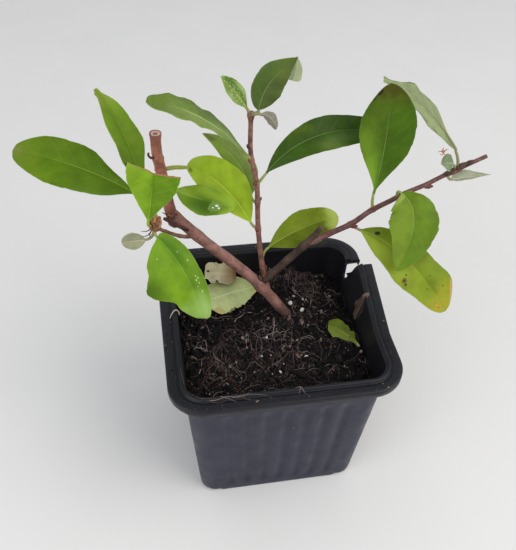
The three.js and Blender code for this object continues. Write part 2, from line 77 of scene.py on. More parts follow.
back = Vector((math.sin(VIEW_AZIMUTH) * math.cos(VIEW_ELEVATION),
               -math.cos(VIEW_AZIMUTH) * math.cos(VIEW_ELEVATION), math.sin(VIEW_ELEVATION)))
level = Vector((math.cos(VIEW_AZIMUTH), math.sin(VIEW_AZIMUTH), 0.0))
upright = back.cross(level)
camera_right = math.cos(VIEW_ROLL) * level + math.sin(VIEW_ROLL) * upright
camera_up = -math.sin(VIEW_ROLL) * level + math.cos(VIEW_ROLL) * upright
place = (VIEW_TARGET + back * VIEW_DISTANCE) * MM
camera_data = bpy.data.cameras.new("photo_camera")
camera_data.sensor_width = SENSOR
camera_data.lens = FOCAL_PIXELS * SENSOR / IMAGE_HEIGHT
camera_data.clip_start = 0.01
camera = in_scene("photo_camera", camera_data)
axes = Matrix((camera_right, camera_up, back)).transposed()
camera.matrix_world = Matrix.Translation(place) @ axes.to_4x4()
bpy.context.scene.camera = camera
print("lens:", round(camera_data.lens, 2), "mm")

# %% [markdown]
# ## Finishes
#
# Every finish is a small node tree that ends in one Principled shader. A few helpers keep the
# trees short: one makes a node and feeds its sockets, and the others are the sums, noises and
# mixes that come up again and again. A colour is written as it is seen on a screen and turned
# into the linear values that a shader wants.

# %% Helpers for node trees
def paint(red, green, blue):
    """A screen colour from 0 to 255, as the linear colour that a shader takes."""
    channels = [value / 255 for value in (red, green, blue)]
    linear = [c / 12.92 if c <= 0.04045 else ((c + 0.055) / 1.055) ** 2.4 for c in channels]
    return (*linear, 1.0)


class Finish:
    """A material whose nodes are written as sums."""

    def __init__(self, name, roughness, specular=0.5):
        self.material = bpy.data.materials.new(name)
        self.material.use_nodes = True
        self.nodes = self.material.node_tree.nodes
        self.shader = self.nodes["Principled BSDF"]
        self.shader.inputs["Roughness"].default_value = roughness
        self.shader.inputs["Specular IOR Level"].default_value = specular
        self.place = self.node("TexCoord").outputs["Object"]

    def node(self, kind, **settings):
        made = self.nodes.new("ShaderNode" + kind)
        for setting, value in settings.items():
            setattr(made, setting, value)
        return made

    def feed(self, socket, value):
        if isinstance(value, bpy.types.NodeSocket):
            self.material.node_tree.links.new(value, socket)
        else:
            socket.default_value = value

    def sum(self, operation, first, second=0.0, third=0.0):
        made = self.node("Math", operation=operation)
        for socket, value in zip(made.inputs, (first, second, third)):
            self.feed(socket, value)
        return made.outputs[0]

    def times(self, first, second):
        return self.sum("MULTIPLY", first, second)

    def step(self, value, low, high, bottom=0.0, top=1.0):
        """bottom below low and top above high, with a smooth change between them."""
        made = self.node("MapRange", interpolation_type="SMOOTHSTEP")
        for socket, given in zip(made.inputs, (value, low, high, bottom, top)):
            self.feed(socket, given)
        return made.outputs[0]

    def mix(self, share, first, second, blend_type="MIX"):
        made = self.node("Mix", data_type="RGBA", blend_type=blend_type)
        for number, value in ((0, share), (6, first), (7, second)):
            self.feed(made.inputs[number], value)
        return made.outputs[2]

    def split(self, vector):
        """The three parts of a vector."""
        made = self.node("SeparateXYZ")
        self.feed(made.inputs[0], vector)
        return made.outputs

    def told(self, name, output="Fac"):
        """What the mesh has stored under this name at the place in hand."""
        return self.node("Attribute", attribute_name=name).outputs[output]

    def noise(self, size_mm, detail=3.0, roughness=0.55, stretch=None):
        made = self.node("TexNoise")
        where = self.place
        if stretch:
            mapping = self.node("Mapping")
            self.feed(mapping.inputs["Vector"], where)
            mapping.inputs["Scale"].default_value = stretch
            where = mapping.outputs[0]
        self.feed(made.inputs["Vector"], where)
        made.inputs["Scale"].default_value = 1.0 / (size_mm * MM)
        made.inputs["Detail"].default_value = detail
        made.inputs["Roughness"].default_value = roughness
        return made.outputs[0]

    def specks(self, spacing_mm, share, radius=0.28):
        """Round specks: 1 on the specks, which stand in a share of the cells, and 0 elsewhere."""
        made = self.node("TexVoronoi")
        self.feed(made.inputs["Vector"], self.place)
        made.inputs["Scale"].default_value = 1.0 / (spacing_mm * MM)
        lot = self.node("SeparateColor")
        self.feed(lot.inputs[0], made.outputs["Color"])
        chosen = self.sum("LESS_THAN", lot.outputs[0], share)
        return self.times(self.step(made.outputs["Distance"], radius * 0.6, radius, 1.0, 0.0), chosen)

    def bump(self, height, depth_mm, strength=1.0):
        made = self.node("Bump")
        made.inputs["Strength"].default_value = strength
        made.inputs["Distance"].default_value = depth_mm * MM
        self.feed(made.inputs["Height"], height)
        self.feed(self.shader.inputs["Normal"], made.outputs[0])

    def colour(self, value):
        self.feed(self.shader.inputs["Base Color"], value)
        return self


# %% [markdown]
# ## Floor and light
#
# The plant stands on a pale floor. A wide soft light from the right and above gives the gentle
# shadows of a bright room, a weaker one fills in from the left, and a pale sky does the rest.
# None of this belongs to the object.

# %% Floor, lights and sky
FLOOR_SIZE = 3000.0


def mesh_from(bm, name):
    """Turns what bm holds, in millimetres, into a mesh in metres, and frees bm."""
    bmesh.ops.scale(bm, vec=(MM,) * 3, verts=bm.verts)
    mesh = bpy.data.meshes.new(name)
    bm.to_mesh(mesh)
    bm.free()
    return mesh


bm = bmesh.new()
bmesh.ops.create_grid(bm, x_segments=2, y_segments=2, size=FLOOR_SIZE / 2)
floor = in_scene("pale_floor", mesh_from(bm, "pale_floor"))
floor_finish = Finish("pale_floor", roughness=0.55, specular=0.3)
mottle = floor_finish.noise(60, detail=2.0)
floor_finish.colour(floor_finish.mix(mottle, paint(222, 220, 217), paint(228, 226, 224)))
floor.data.materials.append(floor_finish.material)


def soft_light(name, place, target, size, power, colour):
    data = bpy.data.lights.new(name, "AREA")
    data.shape = "DISK"
    data.size = size * MM
    data.energy = power
    data.color = colour
    light = in_scene(name, data)
    light.location = Vector(place) * MM
    aim = Vector(target) - Vector(place)
    light.rotation_euler = aim.to_track_quat("-Z", "Y").to_euler()


LIGHT_TARGET = (0, 10, 90)
soft_light("window_light", (620, -380, 760), LIGHT_TARGET, 1000, 6.2, (1.0, 0.985, 0.96))
soft_light("room_fill", (-700, -500, 500), LIGHT_TARGET, 900, 3.8, (0.95, 0.97, 1.0))
sky = bpy.data.worlds.new("pale_sky")
sky.use_nodes = True
sky.node_tree.nodes["Background"].inputs["Color"].default_value = (0.93, 0.96, 1.0, 1.0)
sky.node_tree.nodes["Background"].inputs["Strength"].default_value = 0.66
bpy.context.scene.world = sky
bpy.context.scene.view_settings.view_transform = "Standard"

# %% [markdown]
# ## Making pieces
#
# Pots and twigs are both stacks of rings. A ring comes from a circle, and extruding its edges
# gives the next one, so the operators make all faces. Each vertex keeps its row and column
# number, and a function then says where that row and column lie.

# %% Helpers for meshes
def grown(bm, edges):
    """Extrudes the edges. Returns the new vertices and the new edges between them."""
    out = bmesh.ops.extrude_edge_only(bm, edges=edges)["geom"]
    verts = [item for item in out if isinstance(item, bmesh.types.BMVert)]
    fresh = set(verts)
    return verts, [item for item in out if isinstance(item, bmesh.types.BMEdge)
                   and item.verts[0] in fresh and item.verts[1] in fresh]


def ring_stack(bm, columns, rows):
    """Open tube of rings. Returns its vertices with their row and column numbers."""
    row_of = bm.verts.layers.int.get("row") or bm.verts.layers.int.new("row")
    column_of = bm.verts.layers.int.get("column") or bm.verts.layers.int.new("column")
    ring = bmesh.ops.create_circle(bm, cap_ends=False, segments=columns, radius=1.0)["verts"]
    for number, vert in enumerate(ring):
        vert[column_of] = number
        vert[row_of] = 0
    made = list(ring)
    edges = list({edge for vert in ring for edge in vert.link_edges})
    for row in range(1, rows):
        ring, edges = grown(bm, edges)
        for vert in ring:
            vert[row_of] = row
        made += ring
    return [(vert, vert[row_of], vert[column_of]) for vert in made]


def close_holes(bm):
    """Fills each open ring with one face and turns every face outwards."""
    open_edges = [edge for edge in bm.edges if edge.is_boundary]
    if open_edges:
        bmesh.ops.holes_fill(bm, edges=open_edges, sides=0)
    bmesh.ops.recalc_face_normals(bm, faces=bm.faces)


def riding(name, mesh, finishes):
    """The mesh as an object with its finishes, riding on the plant's one body."""
    for finish in finishes:
        mesh.materials.append(finish.material)
    made = in_scene(name, mesh)
    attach(made, "root")
    return made


def piece(name, bm, finishes, replaces=(), sharp=40.0):
    """Makes a smooth object of what bm holds, in place of the solids it replaces."""
    mesh = mesh_from(bm, name)
    mesh.polygons.foreach_set("use_smooth", np.ones(len(mesh.polygons), bool))
    mesh.set_sharp_from_angle(angle=math.radians(sharp))
    made = riding(name, mesh, finishes)
    if replaces:
        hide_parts(*replaces)
    return made


def smoothstep(value, low, high):
    share = np.clip((np.asarray(value, float) - low) / (high - low), 0.0, 1.0)
    return share * share * (3.0 - 2.0 * share)


# %% [markdown]
# ## The pot's plastic
#
# A nursery pot is thin moulded plastic, dark grey with a cold sheen. The cold blue-grey of its
# walls is partly a painted reflection of the pale sky, and its rim is painted darker, as painted
# shade. It is dusty from potting: brown specks lie on the rim and cling to the walls, and handling
# has left the gloss uneven. The ground colour comes from broad noise, the specks from small cells
# of which only a few are chosen. The inside has a darker finish of its own: painted shade, with stains.

# %% Finish of the pot
plastic = Finish("pot_plastic", roughness=0.42, specular=0.36)
on_rim = plastic.step(plastic.split(plastic.place)[2], 0.0698, 0.0712)
# The walls' blue-grey is partly a painted reflection of the pale sky.
shade = plastic.mix(plastic.noise(22, detail=3.0), paint(29, 29, 46), paint(36, 36, 57))
# The rim is painted darker than the walls: painted shade.
shade = plastic.mix(on_rim, shade, paint(12, 12, 20))
scuffs = plastic.step(plastic.noise(3.5, detail=6.0, stretch=(1.0, 1.0, 0.35)), 0.58, 0.8)
shade = plastic.mix(plastic.times(scuffs, 0.07), shade, paint(104, 106, 120))
dust = plastic.step(plastic.noise(0.9, detail=5.0, roughness=0.7), 0.56, 0.72)
dust_here = plastic.times(dust, plastic.step(plastic.noise(9, detail=2.0), 0.45, 0.7))
dust_share = plastic.times(dust_here, plastic.sum("MULTIPLY_ADD", on_rim, 0.3, 0.06))
shade = plastic.mix(dust_share, shade, paint(120, 104, 92))
for spacing, share, radius, strength, speck in (
        (2.3, 0.10, 0.16, 0.75, (26, 20, 17)), (3.1, 0.07, 0.11, 0.7, (168, 160, 150))):
    specks = plastic.times(plastic.specks(spacing, share, radius), strength)
    shade = plastic.mix(specks, shade, paint(*speck))
plastic.colour(shade)
plastic.feed(plastic.shader.inputs["Roughness"],
             plastic.step(plastic.noise(7, detail=5.0), 0.3, 0.75, 0.34, 0.52))
plastic.bump(plastic.noise(0.5, detail=3.0), 0.03, 0.35)

# The inside of the pot is painted darker than the outside, as painted shade; its stains and specks are
# dirt.
shaded_pot_inside = Finish("shaded_pot_inside", roughness=0.5, specular=0.35)
shade = shaded_pot_inside.mix(shaded_pot_inside.noise(9, detail=4.0), paint(13, 13, 17), paint(24, 23, 28))
stain = shaded_pot_inside.step(shaded_pot_inside.noise(1.1, detail=5.0, roughness=0.7), 0.6, 0.75)
shade = shaded_pot_inside.mix(shaded_pot_inside.times(stain, 0.25), shade, paint(78, 66, 60))
shade = shaded_pot_inside.mix(shaded_pot_inside.specks(1.9, 0.12, 0.2), shade, paint(52, 38, 32))
shaded_pot_inside.colour(shade).bump(shaded_pot_inside.noise(0.6, detail=4.0), 0.04, 0.4)
print("pot finish nodes:", len(plastic.nodes), len(shaded_pot_inside.nodes))

# %% [markdown]
# ## The pot's shape
#
# From its underside the pot goes up its leaning wall, out under the rim, down the skirt and
# back over the flange to a raised bead, and then down inside. That line is a list of rows, each
# a square with round corners. Between its smooth corners each side has shallow flutes, which
# stiffen the thin wall. They are pressed in by moving the wall's vertices, as the mould does.

# %% Rows of the pot
RIM_TOP = 74.0
STRAIGHT_HALF = 31.1
BASE_HALF = 33.7
BASE_CORNER = 6.5
WALL_TOP_HALF = 39.3
WALL_TOP = 71.2
WALL = 1.0
SPRING_OUT = 5.0
SPRING_FROM_Y = -17.0
SPRING_FROM_Z = 62.0
CRACK_Y = 26.0
FLUTE_SPACING = 8.0
FLUTES = 7
FLUTE_DEPTH = 0.85
FLUTE_FROM = 4.0
FLUTE_TO = 61.0
CORNER_LIFT_FROM = 24.6
CORNER_LIFT = 2.0
CORNER_LIFT_RAMP = 0.8
SIDE_STEPS = 112
CORNER_STEPS = 14
COLUMNS = 4 * (SIDE_STEPS + CORNER_STEPS)


def wall_half(z):
    return BASE_HALF + (WALL_TOP_HALF - BASE_HALF) * z / WALL_TOP


def wall_corner(z):
    free = min(max(z / SPRING_FROM_Z, 0.0), 1.0)
    return BASE_CORNER + (wall_half(SPRING_FROM_Z) - STRAIGHT_HALF - BASE_CORNER) * free


def wall_row(z, inset=0.0):
    return (wall_half(z) - inset, wall_corner(z) - inset, z)


def rim_row(half, z):
    return (half, half - STRAIGHT_HALF, z)


outer_heights = [0.9, 2.0, 3.2, 4.2, 5.2, 6.4, *np.linspace(8, 57, 18), 58.5, 59.5, 60.5, 61.2, 62]
pot_rows = [(BASE_HALF * share, BASE_CORNER * share, 0.0) for share in (0.15, 0.45, 0.75, 0.94)]
pot_rows += [(BASE_HALF - 0.6, BASE_CORNER - 0.6, 0.05), (BASE_HALF - 0.15, BASE_CORNER - 0.1, 0.35)]
pot_rows += [wall_row(z) for z in outer_heights]
pot_rows += [rim_row(wall_half(z), z) for z in (64.0, 66.0, 68.0, 70.0)]
pot_rows += [rim_row(*row) for row in (
    (39.35, 71.0), (39.9, 71.5), (43.7, 71.75), (44.1, 71.4), (44.15, 70.7), (44.35, 70.5),
    (44.75, 70.5), (44.95, 70.75), (45.0, 72.0), (45.0, 73.1), (44.85, 73.5), (44.4, 73.72),
    (43.6, 73.78), (42.2, 73.8), (41.35, 73.78), (41.15, 73.55), (40.9, 73.5), (40.65, 73.6),
    (40.5, 74.0), (40.25, 74.4), (39.95, 74.58), (39.6, 74.58), (39.3, 74.4), (39.1, 74.05),
    (38.95, 73.9), (38.7, 73.85), (38.45, 73.7), (38.32, 73.2), (38.28, 72.0), (38.25, 70.0))]
pot_rows += [rim_row(wall_half(z) - WALL, z) for z in (68.0, 66.0, 64.0, 62.0)]
pot_rows += [wall_row(z, WALL) for z in (58.0, 50.0, 38.0, 26.0, 14.0, 6.0, 3.2)]
pot_rows += [(BASE_HALF - 2.4, BASE_CORNER - 2.0, 2.0)]
pot_rows += [(BASE_HALF * share, BASE_CORNER * share, 2.0) for share in (0.7, 0.4, 0.15)]
FIRST_WALL_ROW = 6
LAST_WALL_ROW = FIRST_WALL_ROW + len(outer_heights)


def square_place(column, half, corner):
    """A place on a round-cornered square, its side's number, and how far along that side."""
    side, step = divmod(column, SIDE_STEPS + CORNER_STEPS)
    straight = half - corner
    if step <= SIDE_STEPS:
        along = (2.0 * step / SIDE_STEPS - 1.0) * straight
        flat = Vector((half, along))
    else:
        angle = (step - SIDE_STEPS) / CORNER_STEPS * math.pi / 2
        flat = Vector((straight + corner * math.cos(angle), straight + corner * math.sin(angle)))
        along = None
    turn = side * math.pi / 2
    place = Vector((flat.x * math.cos(turn) - flat.y * math.sin(turn),
                    flat.x * math.sin(turn) + flat.y * math.cos(turn)))
    outwards = Vector((math.cos(turn), math.sin(turn)))
    return place, outwards, along, side


def flute(along, z):
    """How deep the wall is pressed in, from 0 between the flutes to 1 in the middle of one."""
    reach = (FLUTES / 2) * FLUTE_SPACING
    across = along * WALL_TOP_HALF / wall_half(z)
    wave = 0.5 + 0.5 * math.cos(2 * math.pi * across / FLUTE_SPACING)
    ends = smoothstep(z, FLUTE_FROM, FLUTE_FROM + 5) * (1 - smoothstep(z, FLUTE_TO - 5, FLUTE_TO))
    inside = 1 - smoothstep(abs(across), reach - 0.5, reach + 0.5)
    return float(wave ** 1.6 * ends * inside)


def pot_place(row, column):
    half, corner, z = pot_rows[row]
    place, outwards, along, side = square_place(column, half, corner)
    if FIRST_WALL_ROW <= row < LAST_WALL_ROW and along is not None:
        place = place - outwards * FLUTE_DEPTH * flute(along, z)
    if row < FIRST_WALL_ROW + 3:
        inwards = min(abs(place.x), abs(place.y))
        corner_share = smoothstep(inwards, CORNER_LIFT_FROM, CORNER_LIFT_FROM + CORNER_LIFT_RAMP)
        z += CORNER_LIFT * float(corner_share) * (1 - row / (FIRST_WALL_ROW + 4))
    if side == 0 and place.x > BASE_HALF and place.y < CRACK_Y - 0.2:
        out = min(max((place.y - SPRING_FROM_Y) / (CRACK_Y - SPRING_FROM_Y), 0.0), 1.0)
        up = min(max((z - SPRING_FROM_Z) / (RIM_TOP - SPRING_FROM_Z), 0.0), 1.0)
        place.x += SPRING_OUT * out * up
    return (place.x, place.y, z)


# %% Build the pot
bm = bmesh.new()
for vert, row, column in ring_stack(bm, COLUMNS, len(pot_rows)):
    vert.co = pot_place(row, column)
close_holes(bm)
# Faces that look inwards take the darker inside finish, painted shade.
for face in bm.faces:
    middle = face.calc_center_median()
    inwards = face.normal.x * middle.x + face.normal.y * middle.y < -0.3 * middle.xy.length
    face.material_index = 1 if inwards and 2 < middle.z < 73.5 else 0
pot = piece("nursery_pot", bm, [plastic, shaded_pot_inside], ["pot"], sharp=50.0)
print("pot faces:", len(pot.data.polygons))

# %% [markdown]
# ## Drain holes and the split rim
#
# Four drain holes go through the floor, and the rim has split near its back right corner, where
# the right side sprang outwards. Both are cut with a Boolean. The cutter for the split is a
# ragged wedge, because torn plastic never parts on a straight line.

# %% Cut the holes and the split
def cut_away(target, bm):
    """Takes the shape in bm, in millimetres, out of the target's mesh."""
    bmesh.ops.recalc_face_normals(bm, faces=bm.faces)
    cutter = in_scene("cutter", mesh_from(bm, "cutter"))
    boolean = target.modifiers.new("cut", "BOOLEAN")
    boolean.operation = "DIFFERENCE"
    boolean.solver = "EXACT"
    boolean.object = cutter
    shown = target.evaluated_get(bpy.context.evaluated_depsgraph_get())
    result = bpy.data.meshes.new_from_object(shown)
    old = target.data
    target.modifiers.clear()
    target.data = result
    bpy.data.meshes.remove(old)
    bpy.data.objects.remove(cutter)


DRAIN_OFFSET = 18.0
DRAIN_RADIUS = 3.5
bm = bmesh.new()
for x in (-1, 1):
    for y in (-1, 1):
        at = Matrix.Translation((x * DRAIN_OFFSET, y * DRAIN_OFFSET, 1.0))
        bmesh.ops.create_cone(bm, cap_ends=True, segments=40, radius1=DRAIN_RADIUS, radius2=DRAIN_RADIUS,
                              depth=6.0, matrix=at)
cut_away(pot, bm)

SPLIT_STEPS = 9
SPLIT_BOTTOM = 62.5
SPLIT_TOP = 76.0
SPLIT_NEAR = 31.0
SPLIT_FAR = 62.0
bm = bmesh.new()
for vert, row, column in ring_stack(bm, 4, SPLIT_STEPS):
    up = row / (SPLIT_STEPS - 1)
    ragged = 0.3 * math.sin(row * 2.6 + (0 if column in (0, 3) else 1.9)) * (row > 0)
    gap = (0.05 + 1.9 * up ** 0.9) * (1 if column in (1, 2) else -1)
    x = SPLIT_NEAR if column in (0, 1) else SPLIT_FAR
    lean = 0.5 * math.sin(up * 4.0)
    vert.co = (x, CRACK_Y + gap + ragged + lean, SPLIT_BOTTOM + (SPLIT_TOP - SPLIT_BOTTOM) * up)
close_holes(bm)
cut_away(pot, bm)
print("pot faces after the cuts:", len(pot.data.polygons))

# %% [markdown]
# ## Soil
#
# Potting peat is nearly black, loose and crumbly. Its surface is a fine grid whose heights come
# from three sizes of noise over the broad lie of the solid's top, calm where a fallen leaf or
# the stem's foot rests on it. The grid's edge is then extruded down to fill the pot.

# %% Lie of the soil
SOIL_LEVEL = 59.5
FOOT = (9.0, 11.5)
FOOT_LEVEL = 62.0
FOOT_FLAT = 9.0
CALM_PLACES = ((9.0, 11.5, 3.5), (-3.0, 27.0, 7.0), (-12.0, 25.5, 9.0), (-21.0, 23.0, 7.0),
               (-19.0, 32.0, 6.0), (35.0, -10.0, 3.0), (31.0, -3.0, 5.0), (26.0, 1.0, 3.0))


def soil_level(x, y):
    """The broad lie of the soil: high round the stem, low in the back right corner."""
    from_foot = math.hypot(x - FOOT[0], y - FOOT[1])
    mound = 2.5 * math.exp(-((from_foot / 18.0) ** 2))
    hollow = 3.0 * min(max((x + y - 30) / 40, 0.0), 1.0)
    lumps = 0.6 * math.sin(x * 0.31 + 1.2) * math.cos(y * 0.27 - 0.4)
    lumps += 0.35 * math.sin(x * 0.83 - y * 0.71)
    back_rise = 1.5 * min(max((y - x - 20) / 30, 0.0), 1.0)
    flat = min(max((from_foot - FOOT_FLAT) / FOOT_FLAT, 0.0), 1.0)
    return FOOT_LEVEL + (SOIL_LEVEL + mound + back_rise - hollow + lumps - FOOT_LEVEL) * flat


def soil_height(x, y):
    """The soil's surface with its clods and crumbs."""
    calm = max(math.exp(-(((x - cx) ** 2 + (y - cy) ** 2) / r ** 2)) for cx, cy, r in CALM_PLACES)
    clods = noise.fractal(Vector((x, y, 3.0)) * 0.19, 0.9, 2.1, 4)
    ridges = abs(noise.fractal(Vector((x, y, 9.0)) * 0.42, 0.8, 2.2, 3))
    crumb = noise.noise(Vector((x, y, 5.0)) * 1.35)
    relief = 1.6 * clods - 1.9 * ridges + 0.6 * crumb
    against_wall = 5.5 * math.exp(-(((x - 8) / 12) ** 2) - ((y - 39) / 9) ** 2)
    against_wall += 3.0 * math.exp(-(((x - 21) / 8) ** 2) - ((y - 31) / 7) ** 2)
    return soil_level(x, y) + against_wall + relief * (1.0 - 0.85 * calm) - 0.1 - 0.5 * calm


def into_pot(x, y, half, corner):
    """Draws the corners of a square grid in to the pot's round corners."""
    straight = half - corner
    over_x, over_y = abs(x) - straight, abs(y) - straight
    if over_x > 0 and over_y > 0:
        shrink = max(over_x, over_y) / math.hypot(over_x, over_y)
        x = math.copysign(straight + over_x * shrink, x)
        y = math.copysign(straight + over_y * shrink, y)
    return x, y


# %% Finish of the soil
peat = Finish("peat", roughness=0.93, specular=0.25)
shade = peat.mix(peat.step(peat.noise(2.2, detail=6.0, roughness=0.65), 0.38, 0.7),
                 paint(3, 2, 3), paint(16, 11, 11))
shade = peat.mix(peat.step(peat.noise(0.6, detail=3.0), 0.58, 0.72), shade, paint(62, 46, 42))
shade = peat.mix(peat.specks(1.3, 0.03, 0.2), shade, paint(112, 98, 94))
peat.colour(shade)
peat.bump(peat.noise(0.35, detail=5.0, roughness=0.7), 0.35, 0.9)

# %% Build the soil
SOIL_CELLS = 168
SOIL_HALF = 37.3
SOIL_FLOOR = 3.4
SOIL_EDGE = 36.8
soil_corner = wall_corner(SOIL_LEVEL) - WALL
bm = bmesh.new()
bmesh.ops.create_grid(bm, x_segments=SOIL_CELLS, y_segments=SOIL_CELLS, size=SOIL_HALF)
brim = [edge for edge in bm.edges if edge.is_boundary]
for z in (40.0, 20.0, SOIL_FLOOR):
    low, brim = grown(bm, brim)
    for vert in low:
        vert.co.z = z
for vert in bm.verts:
    x, y, z = vert.co
    if z == 0:
        x, y = into_pot(x, y, SOIL_HALF, soil_corner)
        vert.co = (x, y, soil_height(x, y))
    else:
        half = wall_half(z) - WALL - 0.4
        x, y = into_pot(x * half / SOIL_HALF, y * half / SOIL_HALF, half, wall_corner(z) - WALL - 0.2)
        vert.co = (x, y, z)
close_holes(bm)
soil = piece("peat_soil", bm, [peat], ["soil"], sharp=60.0)
print("soil faces:", len(soil.data.polygons))

# %% [markdown]
# ## Crumbs and perlite
#
# Loose crumbs, bits of bark and white grains of perlite lie on the peat, and a few crumbs have
# jumped on to the rim. There are thousands, so one rough lump is made with the icosphere
# operator, and its copies are turned, sized and joined as arrays. Each kind of grain is one
# piece in plain colours.

# %% Helpers for many small things
def rough_lump():
    """One lump of twenty faces, as places and faces."""
    bm = bmesh.new()
    bmesh.ops.create_icosphere(bm, subdivisions=1, radius=1.0)
    places = np.array([vert.co for vert in bm.verts])
    faces = np.array([[vert.index for vert in face.verts] for face in bm.faces])
    bm.free()
    return places, faces


def turned(count, rng):
    """Random rotations, as count 3 by 3 matrices."""
    q = rng.normal(size=(count, 4))
    w, x, y, z = (q / np.linalg.norm(q, axis=1, keepdims=True)).T
    rows = [[1 - 2 * (y * y + z * z), 2 * (x * y - z * w), 2 * (x * z + y * w)],
            [2 * (x * y + z * w), 1 - 2 * (x * x + z * z), 2 * (y * z - x * w)],
            [2 * (x * z - y * w), 2 * (y * z + x * w), 1 - 2 * (x * x + y * y)]]
    return np.array(rows).transpose(2, 0, 1)


def joined_piece(name, places, faces, finish_numbers, finishes, smooth=False):
    """One object from arrays of places and faces, in millimetres."""
    mesh = bpy.data.meshes.new(name)
    mesh.from_pydata((places * MM).tolist(), [], faces.tolist())
    mesh.polygons.foreach_set("use_smooth", np.full(len(faces), smooth))
    made = riding(name, mesh, finishes)
    mesh.polygons.foreach_set("material_index", np.asarray(finish_numbers, np.int32))
    mesh.update()
    return made


def scatter(name, spots, sizes, kinds, finishes, rng, thick=1.0):
    """Lumps of the given sizes at the given spots, squashed and jittered by chance."""
    lump, faces = rough_lump()
    count = len(spots)
    shapes = lump[None] * rng.uniform(0.75, 1.25, (count, len(lump), 1))
    shapes = shapes * rng.uniform(0.5, 1.3, (count, 1, 3)) * (1.0, 1.0, thick)
    shapes = np.einsum("nij,nvj->nvi", turned(count, rng), shapes)
    places = shapes * sizes[:, None, None] + spots[:, None, :]
    all_faces = faces[None] + (np.arange(count) * len(lump))[:, None, None]
    numbers = np.repeat(kinds, len(faces))
    made = joined_piece(name, places.reshape(-1, 3), all_faces.reshape(-1, 3), numbers, finishes)
    print(name, "grains:", count, "faces:", len(made.data.polygons))
    return made


def lighter(colour, gain):
    """The linear colour times a gain, darker if the gain is under 1."""
    return tuple(min(c * gain, 1.0) for c in colour[:3]) + (1.0,)


def plain_finish(name, colour, roughness=0.9, specular=0.3, grain_mm=0.6, depth_mm=0.1):
    made = Finish(name, roughness, specular)
    light = paint(*colour)
    made.colour(made.mix(made.noise(grain_mm, detail=3.0), light, lighter(light, 0.72)))
    made.bump(made.noise(grain_mm * 0.6, detail=3.0), depth_mm, 0.6)
    return made


def plain_finishes(kind, tones, *settings):
    """One plain finish for each named tone of a kind of thing."""
    return [plain_finish(f"{kind}_{tone}", colour, *settings) for tone, colour in tones.items()]


def on_soil(flat, lifts):
    """The flat places set on the soil, each raised by its lift."""
    return np.column_stack([flat, np.array([soil_height(x, y) for x, y in flat]) + lifts])


# %% Crumbs on the soil and the rim
rng = np.random.default_rng(7)
crumb_finishes = plain_finishes("crumb", {
    "black": (8, 6, 7), "brown": (38, 26, 24), "mauve": (100, 80, 76), "straw": (164, 144, 128)})
CRUMBS = 3000
CRUMBS_WITHIN = 36.4
flat = rng.uniform(-CRUMBS_WITHIN, CRUMBS_WITHIN, (CRUMBS, 2))
flat = np.array([into_pot(x, y, SOIL_EDGE, soil_corner) for x, y in flat])
sizes = rng.gamma(1.8, 0.24, CRUMBS).clip(0.14, 1.9)
spots = on_soil(flat, sizes * 0.25)
under_leaf = np.array([math.hypot((x + 12) / 15, (y - 25) / 10) < 1 for x, y in flat])
sizes = np.where(under_leaf, np.minimum(sizes, 0.3), sizes)
kinds = rng.choice(4, CRUMBS, p=(0.52, 0.28, 0.15, 0.05))
kinds = np.where((sizes > 0.75) & (kinds > 1), kinds - 2, kinds)
scatter("soil_crumbs", spots, sizes, kinds, crumb_finishes, rng)

RIM_CRUMBS = 170
RIM_CRUMB_LEVEL = 73.9
sides = rng.choice(4, RIM_CRUMBS, p=(0.2, 0.1, 0.3, 0.4))
along = rng.uniform(-36, 36, RIM_CRUMBS)
across = rng.uniform(40.9, 44.2, RIM_CRUMBS)
angles = sides * math.pi / 2
spots = np.column_stack([across * np.cos(angles) - along * np.sin(angles),
                         across * np.sin(angles) + along * np.cos(angles),
                         np.full(RIM_CRUMBS, RIM_CRUMB_LEVEL)])
sizes = rng.gamma(1.6, 0.09, RIM_CRUMBS).clip(0.07, 0.42)
scatter("rim_crumbs", spots, sizes, rng.choice(4, RIM_CRUMBS), crumb_finishes, rng)

# %% Perlite
perlite = [plain_finish("perlite_white", (225, 218, 212), 0.8, 0.3, 0.5, 0.15),
           plain_finish("perlite_pink", (190, 165, 158), 0.85, 0.3, 0.5, 0.15)]
STREWN_WITHIN = 34
known = [(11.4, 15.5, 1.0), (16.0, 11.8, 1.15), (-1.7, -10.0, 0.55), (12.6, -13.6, 0.8),
         (-5.6, -10.5, 0.5), (26.7, -12.8, 0.5), (14.0, 20.5, 0.7), (17.5, 18.0, 0.6)]
GRAINS = 60
flat = rng.uniform(-STREWN_WITHIN, STREWN_WITHIN, (GRAINS, 2))
sizes = rng.gamma(2.5, 0.12, GRAINS).clip(0.15, 0.7)
flat[:len(known)] = [(x, y) for x, y, size in known]
sizes[:len(known)] = [size for x, y, size in known]
kinds = rng.choice(2, GRAINS, p=(0.6, 0.4))
kinds[:4] = (0, 0, 1, 0)
scatter("perlite_grains", on_soil(flat, sizes * 0.45), sizes, kinds, perlite, rng)

# %% Chips of bark
chip_finishes = plain_finishes("chip", {
    "tan": (146, 126, 112), "pink": (116, 88, 84), "grey": (104, 96, 98)})
CHIPS = 90
flat = np.column_stack([rng.uniform(-STREWN_WITHIN, STREWN_WITHIN, CHIPS),
                        rng.uniform(-STREWN_WITHIN, 16, CHIPS)])
sizes = rng.gamma(3.0, 0.26, CHIPS).clip(0.35, 1.4)
scatter("bark_chips", on_soil(flat, sizes * 0.1), sizes, rng.choice(3, CHIPS), chip_finishes, rng,
        thick=0.3)

# %% [markdown]
# ## Root hairs
#
# The peat is full of fine dry roots that curl over its surface, and some hang over the rim.
# Each is a walk of short steps whose heading drifts, laid on the soil with a low arch. A walk
# becomes a thin tapering tube with four sides, and all of them are joined as arrays.

# %% Walks of roots
ROOT_STEP = 1.05
ROOTS_WITHIN = 36.6


